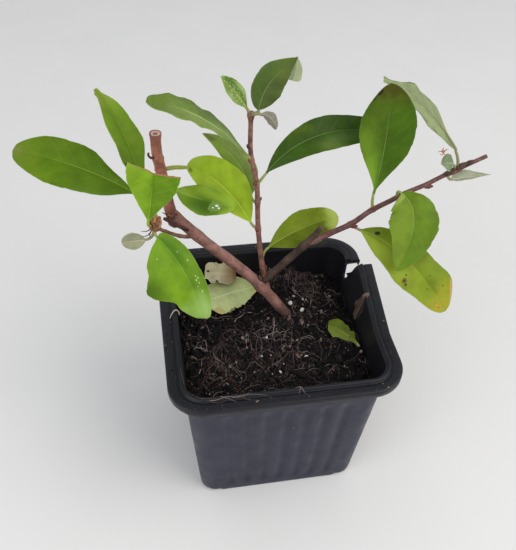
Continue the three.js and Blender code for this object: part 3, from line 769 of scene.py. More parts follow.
def root_walk(x, y, heading, steps, drift, arch, rng):
    """Points of one root on the soil, arching up to arch millimetres over it."""
    points = []
    turn = rng.normal(0, drift)
    for n in range(steps + 1):
        rise = arch * max(math.sin(math.pi * n / steps), 0.0) ** 1.3
        points.append((x, y, soil_height(x, y) + 0.12 + rise))
        turn += rng.normal(0, drift)
        turn *= 0.86
        heading += turn
        x += ROOT_STEP * math.cos(heading)
        y += ROOT_STEP * math.sin(heading)
        x, y = (min(max(value, -ROOTS_WITHIN), ROOTS_WITHIN) for value in (x, y))
        x, y = into_pot(x, y, SOIL_EDGE, soil_corner)
    return points


def smoothed(points, finer=2):
    """The same line with its corners rounded; each pass doubles its points."""
    line = np.array(points, float)
    for n in range(finer):
        cut = np.empty((2 * len(line) - 2, 3))
        cut[0::2] = 0.75 * line[:-1] + 0.25 * line[1:]
        cut[1::2] = 0.25 * line[:-1] + 0.75 * line[1:]
        line = np.vstack([line[:1], cut, line[-1:]]) if n == 0 else cut
    return line


def carried_frames(centres):
    """Two directions square to each point of a line, carried along it without twist."""
    tangents = np.gradient(centres, axis=0)
    tangents /= np.linalg.norm(tangents, axis=1, keepdims=True) + 1e-12
    side = np.array([0.2, 1.0, 0.1])
    sides = []
    for tangent in tangents:
        side = side - tangent * side.dot(tangent)
        side = side / np.linalg.norm(side)
        sides.append(side)
    sides = np.array(sides)
    return sides, np.cross(tangents, sides)


def strands(name, lines, radii, kinds, finishes, corners=4):
    """Thin tapering tubes along many lines, joined."""
    places, faces, numbers, start = [], [], [], 0
    turns = np.arange(corners) / corners * 2 * math.pi
    for line, radius, kind in zip(lines, radii, kinds):
        sides, ups = carried_frames(line)
        taper = radius * (1.0 - 0.75 * np.linspace(0, 1, len(line)) ** 1.5)
        ring = np.cos(turns)[:, None] * sides[:, None] + np.sin(turns)[:, None] * ups[:, None]
        places.append((line[:, None] + ring * taper[:, None, None]).reshape(-1, 3))
        for n in range(len(line) - 1):
            for c in range(corners):
                d = (c + 1) % corners
                a, b = start + n * corners, start + (n + 1) * corners
                faces.append((a + c, a + d, b + d, b + c))
        last = start + (len(line) - 1) * corners
        faces.append(tuple(start + c for c in reversed(range(corners))))
        faces.append(tuple(last + c for c in range(corners)))
        numbers += [kind] * ((len(line) - 1) * corners + 2)
        start += len(line) * corners
    made = joined_piece(name, np.vstack(places), np.array(faces), numbers, finishes, smooth=True)
    print(name, "strands:", len(lines), "faces:", len(made.data.polygons))
    return made


# %% Lay the roots
root_finishes = [plain_finish("root_tan", (158, 140, 134), 0.7),
                 plain_finish("root_brown", (104, 84, 82), 0.8),
                 plain_finish("root_dark", (50, 38, 42), 0.8),
                 plain_finish("root_pale", (196, 184, 172), 0.7),
                 plain_finish("root_rust", (128, 82, 70), 0.8)]
rng = np.random.default_rng(21)
lines, radii, kinds = [], [], []
ROOTS = 340
for n in range(ROOTS):
    x, y = rng.uniform(-35, 35, 2)
    arch = max(0.0, rng.normal(0.6, 1.0))
    over_leaf = math.hypot((x + 12) / 18, (y - 25) / 12) < 1
    steps = int(rng.integers(6, 19))
    drift = rng.choice((0.07, 0.13, 0.24))
    walk = root_walk(x, y, rng.uniform(0, 2 * math.pi), steps, drift, 0.0 if over_leaf else arch, rng)
    if over_leaf:
        walk = walk[:5]
    lines.append(smoothed(walk))
    radii.append(rng.choice((0.05, 0.07, 0.1, 0.14), p=(0.36, 0.36, 0.22, 0.06)))
    kinds.append(int(rng.choice(4, p=(0.2, 0.34, 0.42, 0.04))))

RUSTY, MIXED, CLUMP = (1, 4, 2, 0), (1, 1, 0, 2), (1, 2, 1, 0)
TUFTS = (
    ((-23.0, -11.0), 3.2, 60, 0.12, 1.6, RUSTY), ((-22.0, -19.0), 4.0, 40, 0.16, 1.4, RUSTY),
    ((9.0, 34.0), 3.6, 60, 0.26, 2.6, CLUMP), ((20.0, 31.0), 3.6, 64, 0.22, 3.0, CLUMP),
    ((26.0, 25.0), 3.4, 40, 0.22, 2.4, CLUMP), ((3.0, -3.0), 4.5, 50, 0.1, 1.2, MIXED),
    ((-8.0, -6.0), 4.5, 40, 0.1, 1.0, MIXED), ((14.0, 8.0), 2.4, 26, 0.2, 1.4, MIXED),
    ((6.0, -12.0), 5.0, 40, 0.16, 1.2, MIXED),
)
for (x, y), spread, count, drift, arch, tuft_kinds in TUFTS:
    for n in range(count):
        combed = drift < 0.13
        heading = rng.uniform(0.9, 2.3) + math.pi * (n % 2) if combed else rng.uniform(0, 2 * math.pi)
        start_x, start_y = (x, y) + rng.normal(0, spread, 2)
        walk = root_walk(start_x, start_y, heading, int(rng.integers(5, 13)), drift,
                         rng.uniform(0.2, arch), rng)
        lines.append(smoothed(walk, finer=1))
        radii.append(rng.uniform(0.04, 0.11 if tuft_kinds is CLUMP else 0.085))
        kinds.append(tuft_kinds[n % 4])

STRANDS = (
    ((-5.1, -0.4), (0.9, -2.4), (7.4, -3.8), (12, -4.2)),
    ((-4.4, -1.1), (2.6, -0.1), (8, 1.2), (11.4, 0.8)),
    ((-21, 3.5), (-16.5, 3.6), (-12.3, 2.8), (-8.2, 1.7)),
    ((2.7, 8.6), (2.4, 5.6), (1.2, 4), (-1.5, 0.9)),
    ((-26.7, 10), (-25.9, 7.6), (-25.7, 6), (-25.4, 2.4)),
    ((-33.9, -2.9), (-31.1, -2.3), (-28, -3.4), (-25.7, -5)),
    ((-34.5, -4.7), (-35.6, -7.4), (-36, -10.4), (-36.2, -13.9)),
    ((-30.4, -14), (-28.5, -17.2), (-26.4, -16.5), (-23.2, -16.9)),
    ((-28.4, 13.6), (-25, 12.4), (-20, 13.6), (-14, 12)),
    ((22, 19), (20, 14), (24, 9.5), (27.5, 8)),
    ((-2, 5.4), (-6, 6.2), (-9, 3.8), (-13, 5)),
    ((15, 27.5), (14, 22), (17.5, 18), (18, 14.6)),
)
for n, spots in enumerate(STRANDS):
    line = smoothed([(x, y, 0.0) for x, y in spots], finer=3)
    rise = 0.35 + 0.9 * np.sin(np.linspace(0, math.pi, len(line))) * (n % 3)
    line[:, 2] = [soil_height(x, y) + up for (x, y, z), up in zip(line, rise)]
    lines.append(line)
    radii.append((0.12, 0.09, 0.15)[n % 3])
    kinds.append((0, 3, 1, 0)[n % 4])
strands("root_hairs", lines, radii, kinds, root_finishes)

# %% Roots on the rim
rim_lines = [
    [(5.5, -33, 63.5), (4.4, -36.5, 69.5), (3.6, -38.6, 74.2), (3.2, -39.9, 74.9), (2.3, -41.8, 73.95)],
    [(3.6, -38.6, 74.2), (3.7, -39.8, 74.9), (4.6, -41.6, 74.0), (4.9, -42.4, 73.95)],
    [(3.5, -38.9, 74.4), (2.4, -39.3, 74.95), (1.2, -39.4, 74.85)],
    [(-35.5, -30, 64), (-36.8, -34.5, 71), (-35.5, -38.4, 74.4), (-31, -39.9, 75), (-25.5, -40.4, 74.6)],
    [(-33.5, -39, 74.5), (-29, -40.8, 74.1), (-24, -39.7, 75.05), (-19, -40.6, 74.2), (-15.6, -39.3, 75)],
    [(-27, -37.6, 72), (-26, -39.3, 74.9), (-22.5, -40.9, 74.1), (-20.5, -42.2, 73.95)],
    [(-21.5, -39.5, 74.9), (-18.5, -40.2, 74.9), (-16.8, -41.9, 74.0), (-13, -42.1, 73.95)],
    [(-38.2, -20, 70), (-39.6, -24, 75), (-39.2, -29, 75.1), (-38.6, -33, 74.6)],
    [(-30, -36.5, 66), (-27, -38.4, 72.6), (-22, -40.6, 74.6), (-16, -39.6, 74.9), (-9, -41, 74.2)],
    [(-34, -36, 68), (-31.5, -38.8, 74.2), (-30, -41, 74.3), (-26.5, -42, 74), (-24, -40.8, 74.6)],
    [(-36, -24, 62.5), (-37.6, -27, 68), (-38.8, -30.5, 73.8), (-39.6, -33, 74.9)],
    [(-37.4, 6.8, 71), (-37.9, 6.6, 74.2), (-39.2, 5.6, 75.4), (-40.6, 4.0, 74.8), (-41.5, 2.4, 73.9)],
]
rim_radii = [0.17, 0.12, 0.1, 0.13, 0.12, 0.1, 0.1, 0.1, 0.12, 0.12, 0.12, 0.42]
rim_kinds = [0, 0, 0, 1, 0, 0, 1, 1, 0, 1, 2, 3]
strands("rim_roots", [smoothed(line) for line in rim_lines], rim_radii, rim_kinds, root_finishes)

# %% [markdown]
# ## Bark
#
# The old stem has smooth mauve-brown bark with faint pores, the stub is redder, and the young
# shoots are thin and red-brown under silvery scales, which look like fine pale dots. The old
# bough is grey and rough. One function makes all four: a mottled ground, long streaks, dots and
# a few dark marks. Below the height of the pot's rim it paints the bark darker, as painted shade
# inside the pot.

# %% Finish of the bark
def bark_finish(name, light, dark, dot, dots_mm=0.7, dots=0.4, rough=0.62, streak=0.4, depth=0.12,
                foot=None):
    made = Finish(name, rough, 0.4)
    light, dark, dot = (paint(*colour) for colour in (light, dark, dot))
    mottle = made.step(made.noise(3.2, detail=5.0, roughness=0.6), 0.32, 0.7)
    tone = made.mix(mottle, light, dark)
    fine = made.step(made.noise(0.5, detail=4.0, roughness=0.7), 0.5, 0.75)
    tone = made.mix(made.times(fine, streak), tone, dark)
    tone = made.mix(made.times(made.specks(dots_mm, dots, 0.3), 0.75), tone, dot)
    marks = made.step(made.noise(1.7, detail=3.0), 0.66, 0.72)
    tone = made.mix(made.times(marks, 0.6), tone, lighter(dark, 0.35))
    level = made.sum("MULTIPLY_ADD", made.noise(2.5), 0.005, made.split(made.place)[2])
    if foot:
        tone = made.mix(made.step(level, 0.111, 0.121, 0.85, 0.0), tone, paint(*foot))
    # Below the height of the pot's rim the bark is painted darker: painted shade inside the pot.
    tone = made.mix(made.step(level, 0.0655, 0.0725, 0.8, 0.0), tone, paint(52, 38, 34))
    made.colour(tone)
    made.bump(made.noise(0.6, detail=5.0, roughness=0.65), depth, 0.8)
    return made


old_bark = bark_finish("old_bark", (160, 114, 104), (114, 78, 68), (162, 126, 116), 1.1, 0.16, 0.6, 0.3)
stub_bark = bark_finish("stub_bark", (176, 112, 90), (130, 78, 60), (196, 146, 122), 0.7, 0.3, 0.58, 0.35,
                        foot=(116, 78, 68))
shoot_bark = bark_finish("shoot_bark", (144, 102, 88), (96, 56, 46), (184, 158, 144), 0.6, 0.3, 0.6, 0.45)
grey_bark = bark_finish("grey_bark", (84, 64, 52), (44, 30, 24), (112, 94, 80), 0.7, 0.2, 0.8, 0.6, 0.25)
red_shoot_bark = bark_finish("red_shoot_bark", (116, 78, 72), (74, 40, 40), (150, 124, 112),
                             0.6, 0.3, 0.58, 0.45)
sliver_bark = bark_finish("sliver_bark", (88, 52, 46), (48, 26, 24), (120, 84, 72))
fresh_wood = plain_finish("fresh_wood", (228, 190, 178), 0.7, 0.3, 0.5, 0.05)
dry_wood = plain_finish("dry_wood", (160, 118, 106), 0.85, 0.3, 0.4, 0.15)
dark_pith = plain_finish("dark_pith", (38, 22, 20), 0.9)
bud_scale = bark_finish("bud_scale", (122, 62, 52), (76, 36, 30), (160, 126, 108), 0.5, 0.25)
dark_bud = bark_finish("dark_bud", (84, 58, 44), (46, 28, 22), (130, 110, 90), 0.5, 0.3)

# %% [markdown]
# ## Limbs
#
# A limb's axis is the same smooth curve as in the solids. Its rings are closer here, and their
# radius varies: it swells a little at each node, where a leaf or a bud grew, and low ridges run
# along the bark. Cut ends are inset and filled with wood of another colour.

# %% Axes of the limbs
LIMBS = {
    "main_stem": {
        "path": [[8.4, 11.5, 61], [-2.2, 14, 76], [-11, 16, 85.5], [-25, 19.5, 98.5], [-37.6, 22, 112]],
        "radius": (2.15, 2.25), "flare": 0.12, "rings": 120, "sides": 34, "ridge": 0.06, "sink": 6.0,
        "nodes": [(0.26, 0.3, 0.04), (0.62, 0.05, 0.012), (0.8, 0.12, 0.03), (0.97, 0.12, 0.03)],
    },
    "pruned_stub": {
        "path": [[-36.4, 22, 107.5], [-37.8, 23, 113.5], [-38.8, 24, 120.5], [-40, 26, 129],
                 [-41, 28, 136], [-41, 30, 143]],
        "radius": (2.3, 1.95), "flare": 0.1, "rings": 90, "sides": 28, "ridge": 0.06, "sink": 2.0,
        "slant": 0.35,
        "nodes": [(0.5, 0.08, 0.02), (0.73, 0.14, 0.02), (1.0, 0.16, 0.05)],
    },
    "split_sliver": {
        "path": [[-29.5, 20.5, 104], [-32.2, 19, 106], [-36.3, 18.4, 109], [-40.5, 19, 112]],
        "radius": (0.9, 0.55), "flare": 0.4, "rings": 30, "sides": 14, "ridge": 0.14, "sink": 1.5,
        "nodes": [],
    },
    "side_twig": {
        "path": [[-27.8, 20, 101.5], [-33, 17.5, 103.5], [-38.5, 16, 107], [-44.5, 14, 112.5]],
        "radius": (0.85, 0.68), "flare": 0.3, "rings": 44, "sides": 16, "ridge": 0.07, "sink": 1.5,
        "nodes": [(0.45, 0.15, 0.03), (0.75, 0.22, 0.03)],
    },
    "middle_shoot": {
        "path": [[0.3, 14, 75], [-0.7, 15, 80], [-2.5, 15.5, 90.5], [-4, 17, 105.5], [-4.5, 18, 118.5],
                 [-5, 18.5, 126], [-6.5, 19, 133.5], [-7.5, 20, 140.5], [-7.5, 21, 154.5]],
        "radius": (1.12, 0.85), "flare": 0.3, "rings": 150, "sides": 20, "ridge": 0.05, "sink": 2.0,
        "nodes": [(0.06, 0.12, 0.02)],
    },
    "right_bough": {
        "path": [[-2.2, 14.6, 77.6], [2.2, 13.9, 83], [7.5, 13.5, 89.5], [14.5, 13, 98],
                 [20.5, 12.5, 106.5]],
        "radius": (1.6, 1.45), "flare": 0.1, "rings": 70, "sides": 20, "ridge": 0.1, "sink": 2.0,
        "thin_end": 0.3,
        "nodes": [(0.5, 0.1, 0.03), (0.74, 0.22, 0.04)],
    },
    "right_shoot": {
        "path": [[14, 13, 97.4], [22.5, 12.5, 102.5], [32, 12, 107.5], [39.5, 13, 112.5],
                 [47.5, 14, 116], [53.5, 14.5, 119], [61.5, 16, 121], [71.5, 17.5, 125],
                 [86, 19, 130.5]],
        "radius": (1.2, 0.8), "flare": 0.1, "rings": 160, "sides": 18, "ridge": 0.06, "sink": 1.5,
        "nodes": [(0.14, 0.2, 0.015), (0.895, 0.35, 0.03)],
    },
}


def limb_axis(name, along):
    """Places on a limb's axis: a Catmull-Rom curve through its path."""
    path = np.array(LIMBS[name]["path"], float)
    ends = np.vstack([2 * path[0] - path[1], path, 2 * path[-1] - path[-2]])
    place = np.clip(np.asarray(along, float), 0, 1) * (len(path) - 1)
    k = np.minimum(place.astype(int), len(path) - 2)
    w = (place - k)[..., None]
    before, start, end, after = (ends[k + n] for n in range(4))
    leave, arrive = 0.5 * (end - before), 0.5 * (after - start)
    return ((2 * w**3 - 3 * w**2 + 1) * start + (w**3 - 2 * w**2 + w) * leave
            + (-2 * w**3 + 3 * w**2) * end + (w**3 - w**2) * arrive)


def limb_radius(name, along):
    limb = LIMBS[name]
    first, last = limb["radius"]
    plain = (first + (last - first) * along) * (1 + limb["flare"] * np.exp(-12 * along))
    plain = plain * (1 - limb.get("thin_end", 0.0) * smoothstep(along, 0.7, 1.0))
    for at, swell, length in limb["nodes"]:
        plain = plain * (1 + swell * np.exp(-(((along - at) / length) ** 2)))
    return plain


print("limbs:", list(LIMBS))

# %% [markdown]
# ## Leaves: one rule for all
#
# Autumn olive has oval leaves with a blunt or pointed tip, folded a little along a pale midrib,
# and waved at the margin. Each leaf here has its own neck, middle and tip in space, the way it
# faces and its width, and one rule turns them into a blade: a curved midrib, and on both sides
# an outline that swells and narrows. The rule is the solids' own, with a finer margin.

# %% Blade rule
PLAIN_LEAF = {
    "fold": (12, 12), "cup": -10, "wave": 0.6, "waves": 2.5, "widest": 0.5, "base": 0.9, "point": 0.7,
    "left": 1.0, "right": 1.0, "blunt": 0.12, "ragged": 0.0, "lobes": (), "marks": (),
    "stalk": "green",
}
NECK_HALF_WIDTH = 0.5
CUT_ARCH = 0.75


def midrib(leaf, u):
    """Place, direction, upper side and right-hand side of the midrib at u, from 0 to 1."""
    neck, middle, tip, face = (np.array(leaf[key], float) for key in ("neck", "middle", "tip", "face"))
    face = face / np.linalg.norm(face)
    bend = 2 * middle - (neck + tip) / 2
    w = np.asarray(u, float)[..., None]
    centre = (1 - w) ** 2 * neck + 2 * w * (1 - w) * bend + w**2 * tip
    tangent = (1 - w) * (bend - neck) + w * (tip - bend)
    tangent /= np.linalg.norm(tangent, axis=-1, keepdims=True)
    normal = face - tangent * (face * tangent).sum(-1, keepdims=True)
    normal /= np.linalg.norm(normal, axis=-1, keepdims=True)
    return centre, tangent, normal, np.cross(tangent, normal)


def outline(leaf, u):
    """Share of the half width at u: it swells to the widest place and narrows to the tip."""
    widest = leaf["widest"]
    rise = np.sin(np.pi / 2 * np.clip(u / widest, 0, 1)) ** leaf["base"]
    fall = np.cos(np.pi / 2 * np.clip((u - widest) / (1 - widest), 0, 1)) ** leaf["point"]
    return np.where(u < widest, rise, fall)


def blade(leaf, along, v):
    """Places on the blade, the direction square to it, and what its finish needs to know."""
    right, out = v > 0, np.abs(v)
    end = np.ones_like(along)
    if "cut" in leaf:
        left_end, middle_end, right_end = leaf["cut"]
        end = middle_end + (np.where(right, right_end, left_end) - middle_end) * out**CUT_ARCH
        end = end + 0.0025 * np.sin(v * 19) + 0.0015 * np.sin(v * 43 + 1)
    u = along * end
    centre, _, normal, side = midrib(leaf, u)
    shape = outline(leaf, u)
    half = leaf["width"] / 2 * shape * np.where(right, leaf["right"], leaf["left"])
    rag = np.sin(u * 47 + right * 2) + 0.7 * np.sin(u * 83 + right * 5) + 0.5 * np.sin(u * 131)
    half = half * (1 + (0.008 + leaf["ragged"]) * rag * np.sin(np.pi * np.clip(u, 0, 1)))
    lift = np.zeros_like(u)
    for on_right, at, gain, up, spread in leaf["lobes"]:
        swell = np.where(right == on_right, np.exp(-(((u - at) / spread) ** 2)), 0.0)
        half = half + gain * swell
        lift = lift + up * swell * out**2
    half = np.maximum(half, NECK_HALF_WIDTH + (leaf["blunt"] - NECK_HALF_WIDTH) * smoothstep(u, 0, 0.6))
    fold = np.radians(np.where(right, leaf["fold"][1], leaf["fold"][0]) + leaf["cup"] * out / 2)
    ripple = leaf["wave"] * np.sin(2 * np.pi * leaf["waves"] * u + 2.0 * right) * out**2 * shape
    sign = np.where(right, 1.0, -1.0)
    place = centre + side * (sign * half * out * np.cos(fold))[:, None]
    place = place + normal * (half * out * np.sin(fold) + lift + ripple)[:, None]
    square = normal * np.cos(fold)[:, None] - side * (sign * (out > 0) * np.sin(fold))[:, None]
    length = math.dist(leaf["tip"], leaf["neck"]) * 1.05
    from_rib = half * out
    phase = (u * length - 0.8 * from_rib - 0.02 * from_rib**2) / (length / 9.0) + 0.5 * right
    return place, square, {"u": along, "rib": from_rib, "edge": half - from_rib, "phase": phase}


# %% [markdown]
# ## Leaves: their mesh
#
# A blade starts as two grids, one for each side of the leaf. The grid's own coordinates say
# where each vertex lies between neck and tip and between the margins. The midrib and the side
# veins are pressed into the upper grid and stand out of the lower one, and bridging the two
# edges closes the margin. A stalk, a thin tube of rings, runs on as the raised rib below.

# %% Build one leaf
FAR_FROM_EDGE = 5.0


def vein_relief(about):
    """Millimetres that the surface moves at the midrib and the side veins."""
    rib = -0.12 * np.exp(-((about["rib"] / 0.45) ** 2))
    line = np.abs((about["phase"] + 0.5) % 1.0 - 0.5)
    inner = np.clip(about["rib"] / 1.2, 0, 1) * np.clip(about["edge"] / 1.6, 0, 1)
    return rib - 0.035 * np.exp(-((line / 0.1) ** 2)) * inner + 0.03 * np.cos(2 * np.pi * line) * inner


def store(mesh, name, values, kind="FLOAT"):
    """Keeps a value or a vector for each vertex, for the finish to read."""
    layer = mesh.attributes.new(name, kind, "POINT")
    field = "value" if kind == "FLOAT" else "vector"
    layer.data.foreach_set(field, np.asarray(values, np.float32).ravel())


def blade_faces(bm, leaf, rows, columns):
    """Both sides of a blade, joined at the margin. Returns what each vertex's finish needs."""
    told = []
    edges = []
    for above in (True, False):
        grid = bmesh.ops.create_grid(bm, x_segments=rows, y_segments=columns, size=1.0)["verts"]
        along = np.array([vert.co.x for vert in grid]) / 2 + 0.5
        v = np.array([vert.co.y for vert in grid])
        v = np.sign(v) * np.abs(v) ** 1.25
        place, square, about = blade(leaf, along, v)
        half_thick = 0.15 * (1 - 0.5 * v**2)
        shift = vein_relief(about) * (1.0 if above else 1.5) + half_thick * (1 if above else -1)
        for vert, co in zip(grid, place + square * shift[:, None]):
            vert.co = co
        faces = list({face for vert in grid for face in vert.link_faces})
        bmesh.ops.recalc_face_normals(bm, faces=faces)
        middle = min(faces, key=lambda face: abs(face.calc_center_median().z))
        near = int(np.argmin(((place - np.array(middle.calc_center_median())) ** 2).sum(1)))
        middle.normal_update()
        outwards = square[near] * (1 if above else -1)
        if middle.normal.dot(Vector(outwards)) < 0:
            bmesh.ops.reverse_faces(bm, faces=faces)
        for face in faces:
            face.material_index = 0 if above else 1
        edges += [edge for face in faces for edge in face.edges if edge.is_boundary]
        told.append(np.column_stack([about["u"], v, about["phase"], about["rib"], about["edge"]]))
    bridged = bmesh.ops.bridge_loops(bm, edges=list(set(edges)))["faces"]
    for face in bridged:
        face.material_index = 0
    return np.vstack(told)


def tube(bm, centres, radii, columns, material_index=0):
    """A closed tube of rings along centres; radii has a row for each ring. Returns its ends."""
    sides, ups = carried_frames(centres)
    radii = np.broadcast_to(np.asarray(radii, float), (len(centres), columns))
    old_faces = set(bm.faces)
    for vert, row, column in ring_stack(bm, columns, len(centres)):
        angle = 2 * math.pi * column / columns
        ring = math.cos(angle) * sides[row] + math.sin(angle) * ups[row]
        vert.co = centres[row] + ring * radii[row, column]
    made = [face for face in bm.faces if face not in old_faces]
    ends = [edge for face in made for edge in face.edges if edge.is_boundary]
    caps = bmesh.ops.holes_fill(bm, edges=list(set(ends)), sides=0)["faces"]
    made += caps
    bmesh.ops.recalc_face_normals(bm, faces=made)
    for face in made:
        face.material_index = material_index
    return caps


def stalk_line(leaf, steps=8, rib_steps=12):
    """The stalk from its limb to the neck, and on below the blade as the raised midrib."""
    start = leaf["from"]
    (neck,), (onward,) = midrib(leaf, np.zeros(1))[:2]
    handle = neck - onward * np.linalg.norm(neck - start) / 2
    t = np.linspace(0, 1, steps, endpoint=False)[:, None]
    stalk = (1 - t) ** 2 * start + 2 * t * (1 - t) * handle + t**2 * neck
    u = np.linspace(0.0, leaf.get("rib_to", 0.86), rib_steps)
    rib, _, rib_normal, _ = midrib(leaf, u)
    stout = 0.42 * (1 - u / 0.95) + 0.06
    rib = rib - rib_normal * (stout * 0.9 + 0.05)[:, None]
    radii = np.concatenate([np.linspace(0.66, 0.52, steps), stout])
    return np.vstack([stalk, rib]), radii


def leaf_piece(name, leaf, finishes):
    big = leaf["width"] > 10
    rows, columns = (60, 26) if big else (28, 14)
    bm = bmesh.new()
    told = blade_faces(bm, leaf, rows, columns)
    if "from" in leaf:
        line, radii = stalk_line(leaf)
        tube(bm, line, radii[:, None], 8, material_index=2)
    blank = np.zeros((len(bm.verts) - len(told), told.shape[1]))
    blank[:, 4] = FAR_FROM_EDGE
    told = np.vstack([told, blank])
    if "flap" in leaf:
        told = np.vstack([told, blade_faces(bm, {**PLAIN_LEAF, **leaf["flap"]}, 20, 10)])
    made = piece(name, bm, finishes, [name], sharp=70.0)
    store(made.data, "lay", told[:, :3], "FLOAT_VECTOR")
    store(made.data, "rib", told[:, 3])
    store(made.data, "edge", told[:, 4])
    return made


# %% [markdown]
# ## Leaves: their finish
#
# Above, a leaf is smooth and green with a soft sheen, paler along the midrib and at the very
# edge. Its two halves catch the light differently, so each may have its own green, with the light
# and shade painted in. Below, it is pale and dull with silvery scales. Marks, such as a browned
# tip and black specks from ageing and a few patches of painted light and shade, have their own
# places, given by how far along and how far across the leaf they lie.

# %% Finish of a leaf
def pale_green(colour):
    """The green of a vein or margin: the leaf's own, paler and yellower."""
    red, green, blue = colour[:3]
    return (min(red * 1.5 + 0.09, 1), min(green * 1.3 + 0.1, 1), min(blue * 1.5 + 0.06, 1), 1.0)


def from_vein(made, phase):
    """How far it is to the nearest side vein; the veins lie where the phase is whole."""
    share = made.sum("FRACT", made.sum("ADD", phase, 0.5))
    return made.sum("ABSOLUTE", made.sum("SUBTRACT", share, 0.5))


def marked(made, tone, along, across, marks):
    """Lays each mark over the tone: crisp and ragged if small, soft and broad if large."""
    for u, v, wide_u, wide_v, colour, strength in marks:
        grain, swing, core, rim = (5.0, 0.4, 0.1, 1.25) if wide_u > 0.1 else (1.2, 0.9, 0.7, 1.0)
        du = made.sum("DIVIDE", made.sum("SUBTRACT", along, u), wide_u)
        dv = made.sum("DIVIDE", made.sum("SUBTRACT", across, v), wide_v)
        distance = made.sum("SQRT", made.sum("ADD", made.times(du, du), made.times(dv, dv)))
        wobble = made.sum("MULTIPLY_ADD", made.noise(grain, detail=2.0), swing, -swing / 2)
        reach = made.sum("ADD", distance, wobble)
        tone = made.mix(made.step(reach, core, rim, strength, 0.0), tone, paint(*colour))
    return tone


def leaf_upper(name, leaf, roughness):
    made = Finish(name, roughness, 0.16)
    left, right = (paint(*tone) for tone in leaf["green"])
    pale = pale_green(left)
    along, across, phase = made.split(made.told("lay", "Vector"))
    from_rib, from_edge = made.told("rib"), made.told("edge")
    # The two halves' greens differ by painted light and shade, as the fold turns one half to the light.
    tone = made.mix(made.step(across, -0.06, 0.06), left, right)
    broad = made.step(made.noise(6.5, detail=3.0), 0.3, 0.7)
    dull = made.mix(1.0, tone, paint(120, 130, 110), "MULTIPLY")
    tone = made.mix(made.times(broad, 0.3), tone, dull)
    warm = made.step(made.noise(11, detail=2.0), 0.45, 0.75)
    tone = made.mix(made.times(warm, 0.14), tone, paint(150, 165, 40))
    if "tip_tone" in leaf:
        far = made.sum("ADD", along, made.times(made.noise(5, detail=3.0), 0.2))
        tone = made.mix(made.step(far, 0.86, 1.04), tone, paint(*leaf["tip_tone"]))
    inner = made.times(made.step(from_rib, 0.1, 0.8), made.step(from_edge, 0.3, 2.2))
    vein = made.times(made.step(from_vein(made, phase), 0.03, 0.1, 1.0, 0.0), inner)
    tone = made.mix(made.times(vein, 0.07), tone, pale)
    rib_here = made.step(from_rib, 0.06, 0.26, 1.0, 0.0)
    rib_fade = made.step(along, 0.3, 0.95, 0.7, 0.06)
    tone = made.mix(made.times(rib_here, rib_fade), tone, pale)
    tone = made.mix(made.step(from_edge, 0.04, 0.22, 0.4, 0.0), tone, pale)
    if "cut_line" in leaf:
        at_cut = made.times(made.step(along, 0.972, 0.99), made.step(across, -0.45, -0.1, 0.45, 1.0))
        tone = made.mix(at_cut, tone, paint(*leaf["cut_line"]))
    if "scales" in leaf:
        scales = made.times(made.specks(0.62, 0.6, 0.42), leaf["scales"])
        tone = made.mix(scales, tone, paint(206, 216, 184))
    made.colour(marked(made, tone, along, across, leaf["marks"]))
    fine = made.noise(0.7, detail=4.0, roughness=0.6)
    made.bump(made.sum("SUBTRACT", fine, made.times(vein, 0.5)), 0.06, 0.5)
    return made


def leaf_under(name, tone=(158, 170, 118), marks=()):
    made = Finish(name, 0.62, 0.3)
    base = paint(*tone)
    along, across, phase = made.split(made.told("lay", "Vector"))
    shade = made.mix(made.step(made.noise(5, detail=3.0), 0.35, 0.7), base, lighter(base, 0.78))
    vein = made.step(from_vein(made, phase), 0.02, 0.08, 0.28, 0.0)
    shade = made.mix(vein, shade, lighter(base, 0.62))
    shade = made.mix(made.times(made.specks(0.5, 0.7, 0.34), 0.5), shade, paint(208, 212, 190))
    shade = made.mix(made.step(made.told("rib"), 0.1, 0.5, 0.5, 0.0), shade, lighter(base, 1.35))
    made.colour(marked(made, shade, along, across, marks))
    made.bump(made.noise(0.5, detail=4.0), 0.06, 0.6)
    return made


underside = leaf_under("leaf_underside")
STALKS = {
    "green": plain_finish("stalk_green", (150, 158, 84), 0.6, 0.4, 1.2, 0.04),
    "tan": plain_finish("stalk_tan", (176, 150, 110), 0.65, 0.4, 1.2, 0.04),
    "olive": plain_finish("stalk_olive", (146, 142, 98), 0.65, 0.4, 1.2, 0.04),
}


def leaf_finishes(name, leaf, roughness=0.5):
    """The upper finish, and the shared underside or the leaf's own."""
    upper = leaf_upper(name + "_upper", leaf, roughness)
    if "under" not in leaf:
        return [upper, underside]
    return [upper, leaf_under(name + "_under", leaf["under"], leaf.get("under_marks", ()))]


print("leaf finishes share one underside:", underside.material.name)

# %% [markdown]
# ## The knob of buds
#
# The side twig ends in a knob of crowded bud scales, golden brown and downy, with pink new
# tips. Overlapping scales are set round it in the spiral that buds follow, each one a flattened
# ball tilted outwards.

# %% Build the knob
KNOB_CENTRE = np.array([-44.1, 14.0, 113.9])
KNOB_RADII = np.array([2.2, 2.1, 3.0])
KNOB_SCALES = 30
GOLDEN_ANGLE = 2.39996
knob_finishes = [
    bark_finish("knob_gold", (196, 152, 104), (140, 94, 58), (226, 196, 160), 0.5, 0.5),
    bark_finish("knob_brown", (150, 102, 66), (96, 60, 38), (190, 150, 112), 0.5, 0.4),
    bark_finish("knob_pink", (206, 150, 132), (160, 98, 82), (226, 200, 176), 0.5, 0.3)]


def turn_to(direction):
    """The turn that brings the z axis to this direction."""
    return direction.to_track_quat("Z", "X").to_matrix().to_4x4()


